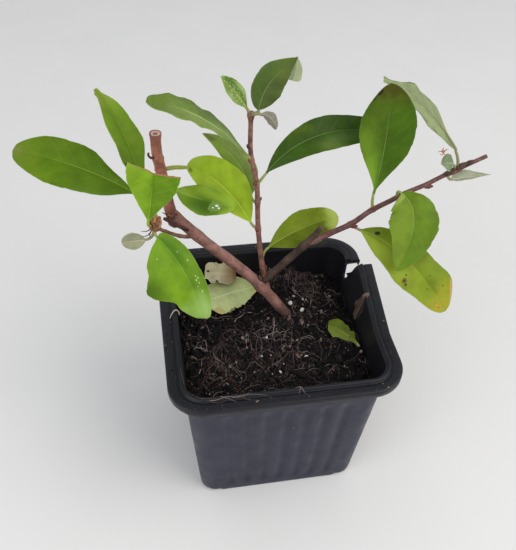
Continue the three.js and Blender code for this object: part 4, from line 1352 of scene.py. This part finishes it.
bm = bmesh.new()
core = Matrix.Translation(KNOB_CENTRE) @ Matrix.Diagonal((*KNOB_RADII * 0.92, 1))
bmesh.ops.create_uvsphere(bm, u_segments=20, v_segments=12, radius=1.0, matrix=core)
for face in bm.faces:
    face.material_index = 1
rng = np.random.default_rng(3)
for n in range(KNOB_SCALES):
    height = 1 - 2 * (n + 0.5) / KNOB_SCALES
    angle = n * GOLDEN_ANGLE
    ring = math.sqrt(1 - height * height)
    out = Vector((ring * math.cos(angle), ring * math.sin(angle), height))
    size = rng.uniform(0.85, 1.2)
    at = Vector(KNOB_CENTRE + np.array(out) * KNOB_RADII * 0.8)
    turn = turn_to((out * 0.7 + Vector((0.0, 0.0, 1.5))).normalized())
    shape = Matrix.Diagonal((1.0 * size, 0.7 * size, 1.9 * size, 1))
    before = set(bm.faces)
    bmesh.ops.create_uvsphere(bm, u_segments=10, v_segments=7, radius=1.0,
                              matrix=Matrix.Translation(at) @ turn @ shape)
    kind = 2 if n % 9 == 4 else int(rng.integers(0, 2))
    for face in set(bm.faces) - before:
        face.material_index = kind
piece("scaly_knob", bm, knob_finishes, ["bud_cluster"], sharp=60.0)
print("knob scales:", KNOB_SCALES)

# %% [markdown]
# ## The leaves of this plant
#
# The table gives each leaf its place and shape, as in the solids, and its colours as seen in
# daylight: the green left and right of the midrib, which differ by painted light and shade, and
# sometimes its tip. A few marks are painted light and shade too. Left and right are those of a
# leaf that points up and is seen from above.

# %% Table of leaves
LEAVES = {
    "leaf_left_long": {
        "on": "bud_cluster", "neck": (-49.5, 14, 127.8), "middle": (-69.5, 19, 138),
        "tip": (-90.5, 24, 143),
        "face": (-0.1, -0.45, 0.9), "width": 20, "right": 0.86, "widest": 0.56, "base": 1.2,
        "point": 0.45,
        "lobes": ((True, 0.28, -1.1, 0, 0.12), (False, 0.2, 1.2, 0, 0.12)),
        "green": ((84, 115, 5), (86, 118, 6)), "tip_tone": (96, 120, 24),
        "marks": [(0.97, 0.1, 0.05, 0.6, (120, 120, 60), 0.5)],
    },
    "leaf_upper_left": {
        "on": "bud_cluster", "neck": (-47.5, 19.5, 128.5), "middle": (-52, 21.5, 148),
        "tip": (-60, 26, 163.5),
        "face": (0.55, -0.6, 0.6), "width": 15, "right": 0.75, "widest": 0.45, "base": 0.8,
        "point": 0.95, "blunt": 0.8, "fold": (25, 25),
        "lobes": (
            (False, 0.8, 0.3, 0, 0.12), (True, 0.84, 0.4, 0, 0.09), (False, 0.965, 1.1, 0, 0.025),
            (True, 0.975, 0.6, 0, 0.02),
        ),
        "green": ((108, 140, 28), (116, 148, 36)), "tip_tone": (118, 135, 44),
        "marks": [(0.28, -0.85, 0.02, 0.12, (40, 40, 20), 0.9)],
    },
    "leaf_cut_across": {
        "on": "bud_cluster", "neck": (-46.5, 11, 116.5), "middle": (-43, 7.5, 141.5),
        "tip": (-41, 4, 161.5),
        "face": (-0.05, -0.8, 0.55), "width": 24, "left": 0.8, "right": 0.85, "widest": 0.55,
        "base": 1.2, "fold": (28, 28), "cut": (0.63, 0.48, 0.555), "rib_to": 0.42,
        "green": ((135, 175, 40), (102, 142, 7)), "cut_line": (168, 116, 84),
    },
    "leaf_lower_left": {
        "on": "bud_cluster", "neck": (-43.5, 11, 109.5), "middle": (-35, 0, 101.5),
        "tip": (-28, -8, 83),
        "face": (-0.2, -0.8, 0.5), "width": 21, "left": 0.85, "right": 1.12, "widest": 0.45,
        "base": 0.45, "point": 0.45, "fold": (42, 2),
        "lobes": (
            (True, 0.56, 4.8, 2.6, 0.18), (True, 0.14, 2.4, 0, 0.14), (True, 0.77, -2.2, 0, 0.06),
        ),
        "green": ((108, 148, 32), (121, 160, 26)), "tip_tone": (145, 180, 84),
        "marks": [
            # The first mark is painted shade in the fold at the big right-hand lobe.
            (0.54, 0.95, 0.24, 0.45, (66, 98, 8), 0.95),
            (0.2, -0.25, 0.34, 0.4, (74, 118, 14), 0.8),
            (0.92, -0.4, 0.22, 0.8, (170, 204, 112), 0.8),
            (0.62, -0.5, 0.012, 0.045, (214, 226, 150), 0.8),
            (0.6, -0.66, 0.012, 0.04, (214, 226, 150), 0.8),
            (0.65, -0.6, 0.012, 0.04, (214, 226, 150), 0.8),
            (0.58, -0.56, 0.01, 0.03, (214, 226, 150), 0.8),
            (0.68, -0.42, 0.01, 0.03, (224, 234, 190), 0.7),
            (0.42, -0.62, 0.01, 0.035, (224, 234, 200), 0.8),
            (0.73, -0.6, 0.012, 0.04, (214, 226, 160), 0.8),
            (0.3, -0.4, 0.01, 0.035, (216, 230, 190), 0.7),
            (0.2, 0.5, 0.01, 0.03, (216, 230, 190), 0.7),
        ],
    },
    "leaf_small_grey": {
        "on": "bud_cluster", "neck": (-48.2, 13.2, 107), "middle": (-52.7, 14, 106.2),
        "tip": (-57.2, 15, 105.5),
        "face": (0, -0.8, 0.5), "width": 6.6, "base": 0.55, "point": 0.5, "wave": 0.2,
        "rib_to": 0.3, "stalk": "olive", "scales": 0.3,
        "green": ((154, 153, 123), (142, 142, 112)),
    },
    "leaf_edge_on": {
        "on": "pruned_stub", "at": 0.62, "neck": (-38, 26, 130), "middle": (-34, 26.5, 129.5),
        "tip": (-29.6, 26.5, 129.2),
        "face": (0, 0.2, 1), "width": 4.0, "base": 0.3, "point": 0.25, "blunt": 1.3, "wave": 0.0,
        "green": ((160, 170, 66), (150, 158, 62)),
    },
    "leaf_long_arching": {
        "on": "middle_shoot", "at": 0.79, "neck": (-8.5, 19, 138), "middle": (-25.5, 16, 156),
        "tip": (-43.5, 14, 164.5),
        "face": (0.15, -0.05, 1), "width": 16, "right": 0.8, "widest": 0.66, "base": 0.92,
        "point": 0.42, "wave": 0.34, "waves": 5, "ragged": 0.014,
        "lobes": ((True, 0.28, 2.4, 0, 0.13), (True, 0.6, 0.8, 0, 0.2)), "scales": 0.12,
        "green": ((118, 140, 60), (99, 123, 47)), "tip_tone": (94, 116, 28),
        "marks": [
            (0.42, 0.5, 0.12, 0.5, (88, 106, 58), 0.5),
            (0.45, 0.0, 0.34, 0.12, (176, 192, 130), 0.6),
            (0.2, 0.0, 0.2, 0.6, (136, 156, 96), 0.5),
        ],
    },
    "leaf_behind": {
        "on": "middle_shoot", "at": 0.485, "neck": (-6, 23.6, 116.6),
        "middle": (-10.5, 33.5, 126.1), "tip": (-22.9, 38.5, 136.3),
        "face": (0.2, -0.6, 0.7), "width": 14, "left": 0.65, "right": 0.82, "widest": 0.34,
        "rib_to": 0.5,
        "green": ((112, 140, 42), (116, 138, 62)),
        "marks": [
            (0.95, 0.0, 0.1, 0.8, (88, 96, 46), 0.8), (0.35, 0.8, 0.24, 0.3, (150, 164, 106), 0.6),
        ],
    },
    "leaf_yellow_green": {
        "on": "middle_shoot", "at": 0.37, "neck": (-7, 17.5, 108), "middle": (-17, 23.6, 121.6),
        "tip": (-30, 29, 129),
        "face": (-0.1, -0.6, 0.8), "width": 17, "left": 0.85, "right": 1.06, "point": 0.5,
        "fold": (12, 28), "rib_to": 0.36,
        "green": ((152, 180, 37), (156, 185, 39)), "tip_tone": (150, 176, 50),
        "marks": [(0.95, -0.5, 0.04, 0.3, (88, 124, 26), 0.7)],
    },
    "leaf_spoon": {
        "on": "pruned_stub", "at": 0.5, "neck": (-35.5, 21, 124), "middle": (-26.5, 17.5, 121),
        "tip": (-13.8, 13.5, 119.2),
        "face": (0, -0.5, 0.8), "width": 12, "widest": 0.55, "base": 1, "point": 0.55,
        "fold": (7, 7), "rib_to": 0.3,
        "green": ((122, 152, 36), (104, 136, 28)), "tip_tone": (132, 162, 44),
        "marks": [
            # The first, broad dark mark is painted shade on the lower half of the blade.
            (0.6, 0.35, 0.32, 0.8, (58, 90, 8), 1.0), (0.74, 0.3, 0.1, 0.5, (110, 140, 66), 0.8),
            (0.76, 0.2, 0.03, 0.12, (226, 234, 214), 0.85),
            (0.8, 0.4, 0.02, 0.1, (226, 234, 214), 0.8),
            (0.72, 0.4, 0.016, 0.07, (226, 234, 214), 0.8),
            (0.1, 0.0, 0.2, 0.9, (132, 160, 66), 0.6),
        ],
    },
    "leaf_silvery": {
        "on": "middle_shoot", "at": 0.985, "neck": (-9, 21.3, 156), "middle": (-13, 21, 162.5),
        "tip": (-18, 20, 169),
        "face": (0.1, -0.7, 0.6), "width": 6.2, "wave": 0.3, "stalk": "olive", "scales": 0.5,
        "green": ((124, 148, 66), (98, 128, 44)),
        "marks": [
            (0.4, 0.8, 0.35, 0.35, (160, 180, 122), 0.7),
            (0.5, -0.85, 0.3, 0.3, (150, 174, 104), 0.6),
        ],
    },
    "leaf_top": {
        "on": "middle_shoot", "at": 0.995, "neck": (-4.6, 21.5, 154.9), "middle": (-0.4, 24, 163.9),
        "tip": (9.5, 27, 171),
        "face": (0.2, -0.8, 0.5), "width": 14, "left": 0.76, "right": 0.78, "widest": 0.42,
        "base": 0.55, "point": 0.9,
        "lobes": ((False, 0.6, 0.9, 0, 0.2), (True, 0.14, 0.6, 0, 0.1)), "stalk": "olive",
        "green": ((73, 94, 38), (75, 90, 40)),
        "under": (156, 166, 125),
        "flap": {
            "neck": (8.8, 27.3, 170.9), "middle": (9.4, 28.6, 166.4), "tip": (8.6, 28, 161.8),
            "face": (-0.2, 0.7, -0.4), "width": 6.0, "widest": 0.86, "base": 1.0, "point": 0.16,
            "blunt": 1.5, "wave": 0.2,
        },
    },
    "leaf_tiny_taupe": {
        "on": "middle_shoot", "at": 0.99, "neck": (-4.3, 18.3, 155), "middle": (-1.1, 17.3, 153.6),
        "tip": (0.7, 16, 149.8),
        "face": (0.3, -0.5, 0.8), "width": 5, "wave": 0.2, "stalk": "olive", "scales": 0.2,
        "green": ((128, 122, 110), (116, 112, 98)),
    },
    "leaf_dark_right": {
        "on": "middle_shoot", "at": 0.61, "neck": (-1.5, 18, 130.5), "middle": (20, 22.5, 142.8),
        "tip": (52, 29, 136.5),
        "face": (0, -0.6, 0.8), "width": 17, "left": 0.75, "right": 0.8, "point": 0.5,
        "green": ((50, 76, 7), (53, 81, 6)),
        "marks": [(0.6, 0.5, 0.25, 0.4, (96, 116, 66), 0.25)],
    },
    "leaf_low_right": {
        "on": "middle_shoot", "at": 0.2, "neck": (1, 18, 94), "middle": (16, 23.5, 98),
        "tip": (31.5, 26, 100.5),
        "face": (0, -0.5, 0.85), "width": 17, "left": 0.85, "widest": 0.55, "point": 0.5,
        "green": ((113, 132, 17), (95, 110, 11)), "tip_tone": (172, 188, 88),
    },
    "leaf_upright": {
        "on": "right_shoot", "at": 0.394, "neck": (40, 13.5, 120.5), "middle": (42, 16, 142.5),
        "tip": (42, 20, 163.3),
        "face": (-0.1, -0.75, 0.6), "width": 21, "widest": 0.6, "base": 1.4, "point": 0.6,
        "green": ((68, 96, 8), (66, 98, 6)), "tip_tone": (66, 66, 4),
        "marks": [
            # The first mark is painted light on the lower left half, which the fold turns to the light.
            (0.12, -0.75, 0.5, 0.75, (118, 154, 40), 0.9), (0.0, 0.3, 0.2, 1.2, (92, 124, 26), 0.7),
            (0.93, -0.8, 0.03, 0.14, (24, 26, 6), 0.95),
            (0.88, -0.9, 0.02, 0.08, (40, 40, 10), 0.8),
        ],
    },
    "leaf_arched_underside": {
        "on": "right_shoot", "at": 0.903, "neck": (71.5, 18.5, 135), "middle": (56.6, 21, 152.2),
        "tip": (40.5, 24, 163),
        "face": (-0.5, 0.3, -0.6), "width": 11.5, "left": 1.9, "right": 0.9, "point": 0.9,
        "blunt": 1.6, "ragged": 0.01,
        "lobes": (
            (False, 0.78, -2.6, 0, 0.13), (False, 0.6, 0.9, 0, 0.05), (False, 0.92, -0.5, 0, 0.07),
            (True, 0.18, 1.0, 0, 0.14),
        ),
        "stalk": "olive",
        "green": ((104, 126, 50), (104, 126, 50)),
        "under": (134, 147, 98),
        "under_marks": [
            (0.5, 0.5, 0.4, 0.3, (150, 162, 116), 0.5), (0.7, -0.98, 0.1, 0.06, (60, 66, 40), 0.8),
            (0.45, 0.9, 0.03, 0.12, (84, 92, 60), 0.7), (0.3, 0.92, 0.03, 0.1, (84, 92, 60), 0.7),
        ],
    },
    "leaf_rounded_pale": {
        "on": "right_shoot", "at": 0.885, "neck": (71.8, 17, 129), "middle": (69, 16.4, 130.4),
        "tip": (66, 15.5, 130.8),
        "face": (0, -0.7, 0.7), "width": 7, "wave": 0.2, "stalk": "olive", "scales": 0.3,
        "green": ((126, 142, 106), (118, 134, 98)),
    },
    "leaf_narrow_pale": {
        "on": "right_shoot", "at": 0.865, "neck": (71.8, 15.5, 123.2), "middle": (79, 15.5, 123.6),
        "tip": (88.5, 16.5, 123.5),
        "face": (0, -0.5, 0.8), "width": 6.5, "right": 0.35, "widest": 0.3, "base": 0.5,
        "point": 1.2, "wave": 0.4, "stalk": "olive", "scales": 0.3,
        "green": ((150, 152, 128), (142, 144, 120)),
    },
    "leaf_folded": {
        "on": "right_shoot", "at": 0.56, "neck": (50.2, 10.8, 121.8), "middle": (53.8, 2.5, 113.4),
        "tip": (46, -8, 99),
        "face": (0.2, -0.8, 0.5), "width": 20, "left": 0.98, "right": 1.35, "base": 0.55,
        "fold": (20, 20), "ragged": 0.006,
        "lobes": ((False, 0.12, -1.8, 0, 0.12), (True, 0.04, 4.2, 0, 0.08)),
        "green": ((93, 122, 20), (110, 135, 34)),
        "marks": [(0.0, 0.4, 0.1, 0.6, (150, 168, 84), 0.6)],
    },
    "leaf_drooping": {
        "on": "right_shoot", "at": 0.25, "neck": (36.5, 12.3, 104), "middle": (52.5, -1, 98),
        "tip": (68, -14, 80),
        "face": (0.1, -0.6, 0.8), "width": 21, "left": 0.86, "widest": 0.55, "point": 0.5,
        "fold": (18, 12), "wave": 1,
        "lobes": ((False, 0.5, -1.6, 0, 0.12), (False, 0.82, 2.0, 0.5, 0.1)), "stalk": "tan",
        "green": ((110, 130, 22), (126, 144, 20)), "tip_tone": (150, 150, 40),
        "marks": [
            # The first mark is partly the leaf's yellower green and partly painted light, where the
            # folded leaf above casts its shadow.
            (0.2, 0.6, 0.4, 0.7, (164, 184, 62), 0.9),
            (0.16, -0.36, 0.028, 0.2, (30, 32, 12), 0.95),
            (0.9, -0.95, 0.09, 0.14, (186, 150, 96), 0.75),
            (0.6, 0.72, 0.03, 0.15, (110, 96, 30), 0.8),
            (0.6, 0.72, 0.014, 0.08, (60, 44, 12), 0.9),
            (0.63, 0.8, 0.012, 0.06, (60, 44, 12), 0.9),
            (0.58, 0.5, 0.01, 0.05, (52, 60, 10), 0.85),
            (0.92, 0.45, 0.03, 0.11, (176, 92, 40), 0.9),
            (0.92, 0.45, 0.014, 0.05, (196, 184, 70), 0.9),
            (0.72, -0.3, 0.008, 0.04, (60, 70, 10), 0.85),
            (0.78, 0.2, 0.008, 0.04, (60, 70, 10), 0.85),
            (0.84, -0.5, 0.008, 0.04, (60, 70, 10), 0.85),
            (0.97, 0.1, 0.03, 0.3, (160, 140, 50), 0.5),
        ],
    },
}

# %% Make the leaves
for name, given in LEAVES.items():
    leaf = {**PLAIN_LEAF, **given}
    on_knob = leaf["on"] == "bud_cluster"
    leaf["from"] = KNOB_CENTRE if on_knob else limb_axis(leaf["on"], leaf["at"])
    leaf_piece(name, leaf, [*leaf_finishes(name, leaf), STALKS[leaf["stalk"]]])
print("leaves:", len(LEAVES))

# %% [markdown]
# ## Limbs: their mesh
#
# With the leaves known, each limb swells where a leaf stalk leaves it. The cut ends are made by
# insetting the last face: first the rim of bark, then the pale ring of living wood, and in the
# middle the dry heart.

# %% Build the limbs
LIMB_FINISH = {
    "main_stem": old_bark, "pruned_stub": stub_bark, "split_sliver": sliver_bark, "side_twig": shoot_bark,
    "middle_shoot": shoot_bark, "right_bough": grey_bark, "right_shoot": red_shoot_bark,
}
for name, leaf in LEAVES.items():
    if leaf["on"] in LIMBS:
        limb = LIMBS[leaf["on"]]
        limb["nodes"].append((leaf["at"], 0.24 / limb["radius"][0], 0.012))


def limb_piece(name):
    limb = LIMBS[name]
    rings, sides = limb["rings"], limb["sides"]
    along = np.linspace(0, 1, rings)
    centres = limb_axis(name, along)
    plain = limb_radius(name, along)
    start = centres[1] - centres[0]
    start = start / np.linalg.norm(start)
    sunk = np.arange(6, 0, -1) / 6 * limb["sink"]
    centres = np.vstack([centres[0] - start * sunk[:, None], centres])
    thinner = 1.0 if name == "main_stem" else np.linspace(0.45, 0.95, len(sunk))
    plain = np.concatenate([plain[0] * thinner * np.ones(len(sunk)), plain])
    rings += len(sunk)
    radii = np.empty((rings, sides))
    for row in range(rings):
        for column in range(sides):
            angle = 2 * math.pi * column / sides
            where = Vector((math.cos(angle) * 2.2, math.sin(angle) * 2.2, row * 0.12 + 17 * len(name)))
            low = noise.fractal(where, 0.8, 2.0, 3)
            fine = noise.noise(Vector((math.cos(angle) * 6, math.sin(angle) * 6, row * 0.5)))
            radii[row, column] = plain[row] * (1 + limb["ridge"] * (0.7 * low + 0.4 * fine))
    bm = bmesh.new()
    caps = tube(bm, centres, radii, sides)
    first, last, end_radius = centres[0], centres[-1], float(plain[-1])
    top = max(caps, key=lambda cap: np.dot(np.array(cap.calc_center_median()) - first, last - first))
    for width, depth in ((0.14, 0.0), (0.1, -0.15)):
        bmesh.ops.inset_individual(bm, faces=[top], thickness=end_radius * width, depth=depth)
    top.material_index = 1
    ring = bmesh.ops.inset_individual(bm, faces=[top], thickness=end_radius * 0.34, depth=-0.05)
    for face in ring["faces"]:
        face.material_index = 1
    top.material_index = 2
    if "slant" in limb:
        onward = last - centres[-9]
        for vert in bm.verts:
            near_end = float(smoothstep(np.dot(np.array(vert.co) - last, onward), -6, 0))
            vert.co.z += limb["slant"] * (vert.co.y - last[1] - 0.4) * near_end
    woods = [fresh_wood, dry_wood] if name == "pruned_stub" else [dry_wood, dark_pith]
    return piece(name + "_bark", bm, [LIMB_FINISH[name], *woods], [name], sharp=35.0)


for name in LIMBS:
    made = limb_piece(name)
    print(made.name, "faces:", len(made.data.polygons))

# %% [markdown]
# ## Buds and scars
#
# A small pointed bud sits in the crook above each leaf stalk, and where leaves have fallen a
# low scar and a bud remain. Each bud is a ball drawn out to a point, with scales marked as
# rings, and lies along its limb. The stub still has one dead hooked bud.

# %% Build the buds
BUDS = [
    ("middle_shoot", 0.623, (-0.6, -0.8, 0.2), 1.5, 0.75),
    ("middle_shoot", 0.88, (-0.8, -0.5, 0.1), 1.3, 0.65),
    ("middle_shoot", 0.37, (-0.5, -0.8, 0.0), 1.5, 0.75),
    ("middle_shoot", 0.2, (0.8, -0.5, 0.0), 1.3, 0.65),
    ("middle_shoot", 0.5, (0.9, -0.3, 0.0), 1.1, 0.55),
    ("middle_shoot", 0.79, (-0.8, -0.6, 0.0), 1.1, 0.55),
    ("right_shoot", 0.255, (0.2, -0.8, -0.6), 1.6, 0.85),
    ("right_shoot", 0.394, (-0.1, -0.4, 0.9), 1.4, 0.7),
    ("right_shoot", 0.755, (0.1, -0.5, -0.9), 2.2, 1.0),
    ("right_shoot", 0.56, (0, -0.7, 0.7), 1.2, 0.6),
    ("right_shoot", 0.14, (0.1, -0.5, 0.9), 1.5, 0.75),
    ("right_shoot", 0.905, (-0.2, -0.5, 0.8), 3.4, 1.15),
    ("right_shoot", 0.865, (-0.2, -0.6, 0.7), 2.6, 1.05),
    ("right_shoot", 0.935, (-0.1, -0.4, 0.9), 2.2, 0.9),
    ("pruned_stub", 0.5, (0.5, -0.8, 0.2), 1.3, 0.7),
    ("main_stem", 0.31, (0.7, -0.2, 0.7), 1.9, 1.0),
    ("side_twig", 0.72, (-0.2, -0.7, 0.7), 1.1, 0.6),
]
bm = bmesh.new()
for limb_name, at, out, length, width in BUDS:
    here = Vector(limb_axis(limb_name, at))
    before, after = (Vector(limb_axis(limb_name, at + step)) for step in (-0.01, 0.01))
    ahead = (after - before).normalized()
    out = Vector(out)
    out = (out - ahead * out.dot(ahead)).normalized()
    radius = float(limb_radius(limb_name, np.array(at)))
    turn = turn_to((ahead + out * 0.45).normalized())
    base = here + out * (radius + width * 0.15) + ahead * length * 0.3
    made = bmesh.ops.create_uvsphere(bm, u_segments=14, v_segments=12, radius=1.0)["verts"]
    for vert in made:
        up = vert.co.z
        pinch = 1.0 if up < 0 else (1 - up ** 2 * 0.55)
        wide = width * pinch * (1 + 0.07 * math.sin(up * 9))
        vert.co = base + turn @ Vector((vert.co.x * wide, vert.co.y * wide, up * length))
    if at > 0.84 or limb_name == "main_stem":
        for face in {face for vert in made for face in vert.link_faces}:
            face.material_index = 1
piece("limb_buds", bm, [bud_scale, dark_bud], sharp=60.0)

hook_root = limb_axis("pruned_stub", 0.76)
HOOK_STEPS = ((-1.2, -1.2, 0), (-2.6, -2.0, 0.6), (-3.3, -2.3, 1.8), (-3.4, -2.5, 2.9), (-2.9, -2.8, 3.2))
hook_line = smoothed([hook_root + np.array(step) for step in HOOK_STEPS])
bm = bmesh.new()
tube(bm, hook_line, np.linspace(0.55, 0.28, len(hook_line))[:, None], 8)
piece("hooked_bud", bm, [sliver_bark], sharp=60.0)
print("buds:", len(BUDS))

# %% Build the dry scraps at the knob, the far leaves and the torn fork
scrap_finishes = plain_finishes("scrap", {
    "brown": (112, 72, 56), "pink": (186, 124, 98), "wood": (206, 168, 146)}, 0.8)
scrap_lines = [
    [(-45.2, 13, 112.6), (-47.4, 12.6, 111.4), (-49.6, 12.8, 111.8)],
    [(-45.2, 13, 112), (-46.6, 12.4, 110), (-48.4, 12.4, 109.2), (-49.8, 12.8, 109.6)],
    [(-45.6, 13, 111.4), (-46.4, 12.6, 109.6), (-46.2, 12.6, 108.2)],
    [(70.4, 18.6, 129.4), (68.6, 18.4, 132), (66.2, 16.9, 135.2)],
    [(66.3, 16.9, 135), (65.2, 16.7, 135.8), (64, 16.7, 135.5)],
    [(66.3, 16.9, 135), (65.6, 16.7, 136.4), (65.9, 16.5, 137.4)],
    [(66.3, 16.9, 135), (67, 16.7, 136.2), (67.8, 16.5, 136.5)],
    [(66.8, 16.9, 134.6), (65.8, 16.5, 134.2), (64.8, 16.3, 134.5)],
]
scrap_kinds = [0, 0, 0, 1, 1, 1, 1, 1]
FORK = (-37.2, 20.6, 111.4)
FORK_SCRAPS = 16
rng = np.random.default_rng(17)
for n in range(FORK_SCRAPS):
    around = 2.4 * n
    root = FORK + np.array([1.9 * math.cos(around), 1.6 * math.sin(around), rng.uniform(-1.5, 1.5)])
    reach = np.array([-0.5, -0.35, 0.75]) * rng.uniform(1.4, 3.2) + rng.normal(0, 0.4, 3)
    scrap_lines.append([root, root + reach * 0.5 + rng.normal(0, 0.25, 3), root + reach])
    scrap_kinds.append((0, 0, 0, 1)[n % 4])
scrap_radii = [0.3, 0.28, 0.24, 0.16, 0.36, 0.36, 0.34, 0.32] + [0.36] * FORK_SCRAPS
strands("dry_scraps", [smoothed(line) for line in scrap_lines], scrap_radii, scrap_kinds, scrap_finishes)

# %% [markdown]
# ## Fallen leaves
#
# A pale leaf lies face down on the peat, a torn piece leans on the pot's back wall, a small green
# one has curled up on the right, and a dry flake stands against the pot's right wall. They follow
# the same blade rule, without a stalk.

# %% Make the fallen leaves
LITTER = {
    "litter_pale_leaf": {
        "neck": (0, 27.5, 62.9), "middle": (-12.5, 25.3, 62.9), "tip": (-25.6, 20.6, 63.1),
        "face": (0, 0.1, -1), "width": 18, "widest": 0.66, "point": 0.45, "fold": (4, 4), "cup": -4,
        "wave": 0.3, "ragged": 0.03,
        "lobes": ((False, 0.3, 1.6, 0, 0.16), (True, 0.9, 2.4, 0, 0.1), (True, 0.72, 0.8, 0, 0.03)),
        "green": ((150, 160, 104), (150, 160, 104)),
        "under": (192, 202, 138),
        "under_marks": [
            (0.0, -0.2, 0.24, 1.6, (140, 146, 66), 0.85),
            (0.5, -0.75, 0.5, 0.5, (162, 168, 110), 0.7),
            (0.88, 0.85, 0.1, 0.3, (176, 160, 96), 0.8),
            (0.66, 0.96, 0.08, 0.1, (104, 84, 48), 0.8),
        ],
    },
    "litter_torn_piece": {
        "neck": (-10, 34.2, 66), "middle": (-17, 33.4, 67.6), "tip": (-24, 33.2, 69.4),
        "face": (0, -0.55, 0.8), "width": 9.5, "base": 0.25, "point": 0.2, "blunt": 3.2,
        "wave": 0.5, "ragged": 0.03,
        "lobes": (
            (False, 0.62, -1.5, 0, 0.04), (False, 0.8, 0.6, 0, 0.05), (False, 0.93, -0.9, 0, 0.03),
            (True, 0.52, -0.9, 0, 0.05), (True, 0.9, 0.7, 0, 0.06), (True, 0.2, 0.8, 1.2, 0.14),
            (False, 0.3, 0.9, 1.0, 0.12),
        ),
        "green": ((200, 191, 156), (196, 186, 150)),
        "marks": [
            (0.12, 0.0, 0.42, 2.4, (140, 112, 78), 0.95), (0.0, 0.0, 0.16, 2.0, (96, 70, 46), 0.8),
            (0.9, 0.1, 0.045, 0.13, (14, 10, 8), 1.0), (0.75, -0.5, 0.05, 0.2, (150, 140, 96), 0.5),
        ],
        "under": (172, 156, 116),
    },
    "litter_green_leaf": {
        "neck": (35.5, -11, 60.4), "middle": (31, -3, 60.9), "tip": (25, 1, 61.9),
        "face": (0, -0.1, 1), "width": 8.6, "left": 1.15, "widest": 0.72, "base": 1.3,
        "point": 0.26, "blunt": 2.2, "wave": 0.5, "ragged": 0.012,
        "lobes": ((True, 0.42, -1.3, 0, 0.05), (True, 0.31, 0.7, 0, 0.06)),
        "green": ((120, 134, 52), (96, 112, 34)),
        "marks": [
            (0.02, 0.0, 0.12, 2.0, (176, 172, 120), 0.9), (0.5, 0.4, 0.18, 0.3, (70, 90, 26), 0.6),
        ],
    },
    "dry_flake": {
        "neck": (37, 2.6, 62.4), "middle": (39, 3.4, 69), "tip": (42.2, 5, 75.4),
        "face": (-0.9, -0.3, 0.3), "width": 5.6, "wave": 0.6, "ragged": 0.08, "rib_to": 0.1,
        "green": ((70, 54, 46), (46, 34, 32)),
        "marks": [(0.95, 0.0, 0.2, 2.0, (150, 118, 116), 0.7)],
        "under": (64, 48, 46),
    },
}
for name, given in LITTER.items():
    leaf = {**PLAIN_LEAF, **given}
    leaf_piece(name, leaf, leaf_finishes(name, leaf, roughness=0.7))
print("fallen leaves:", len(LITTER))
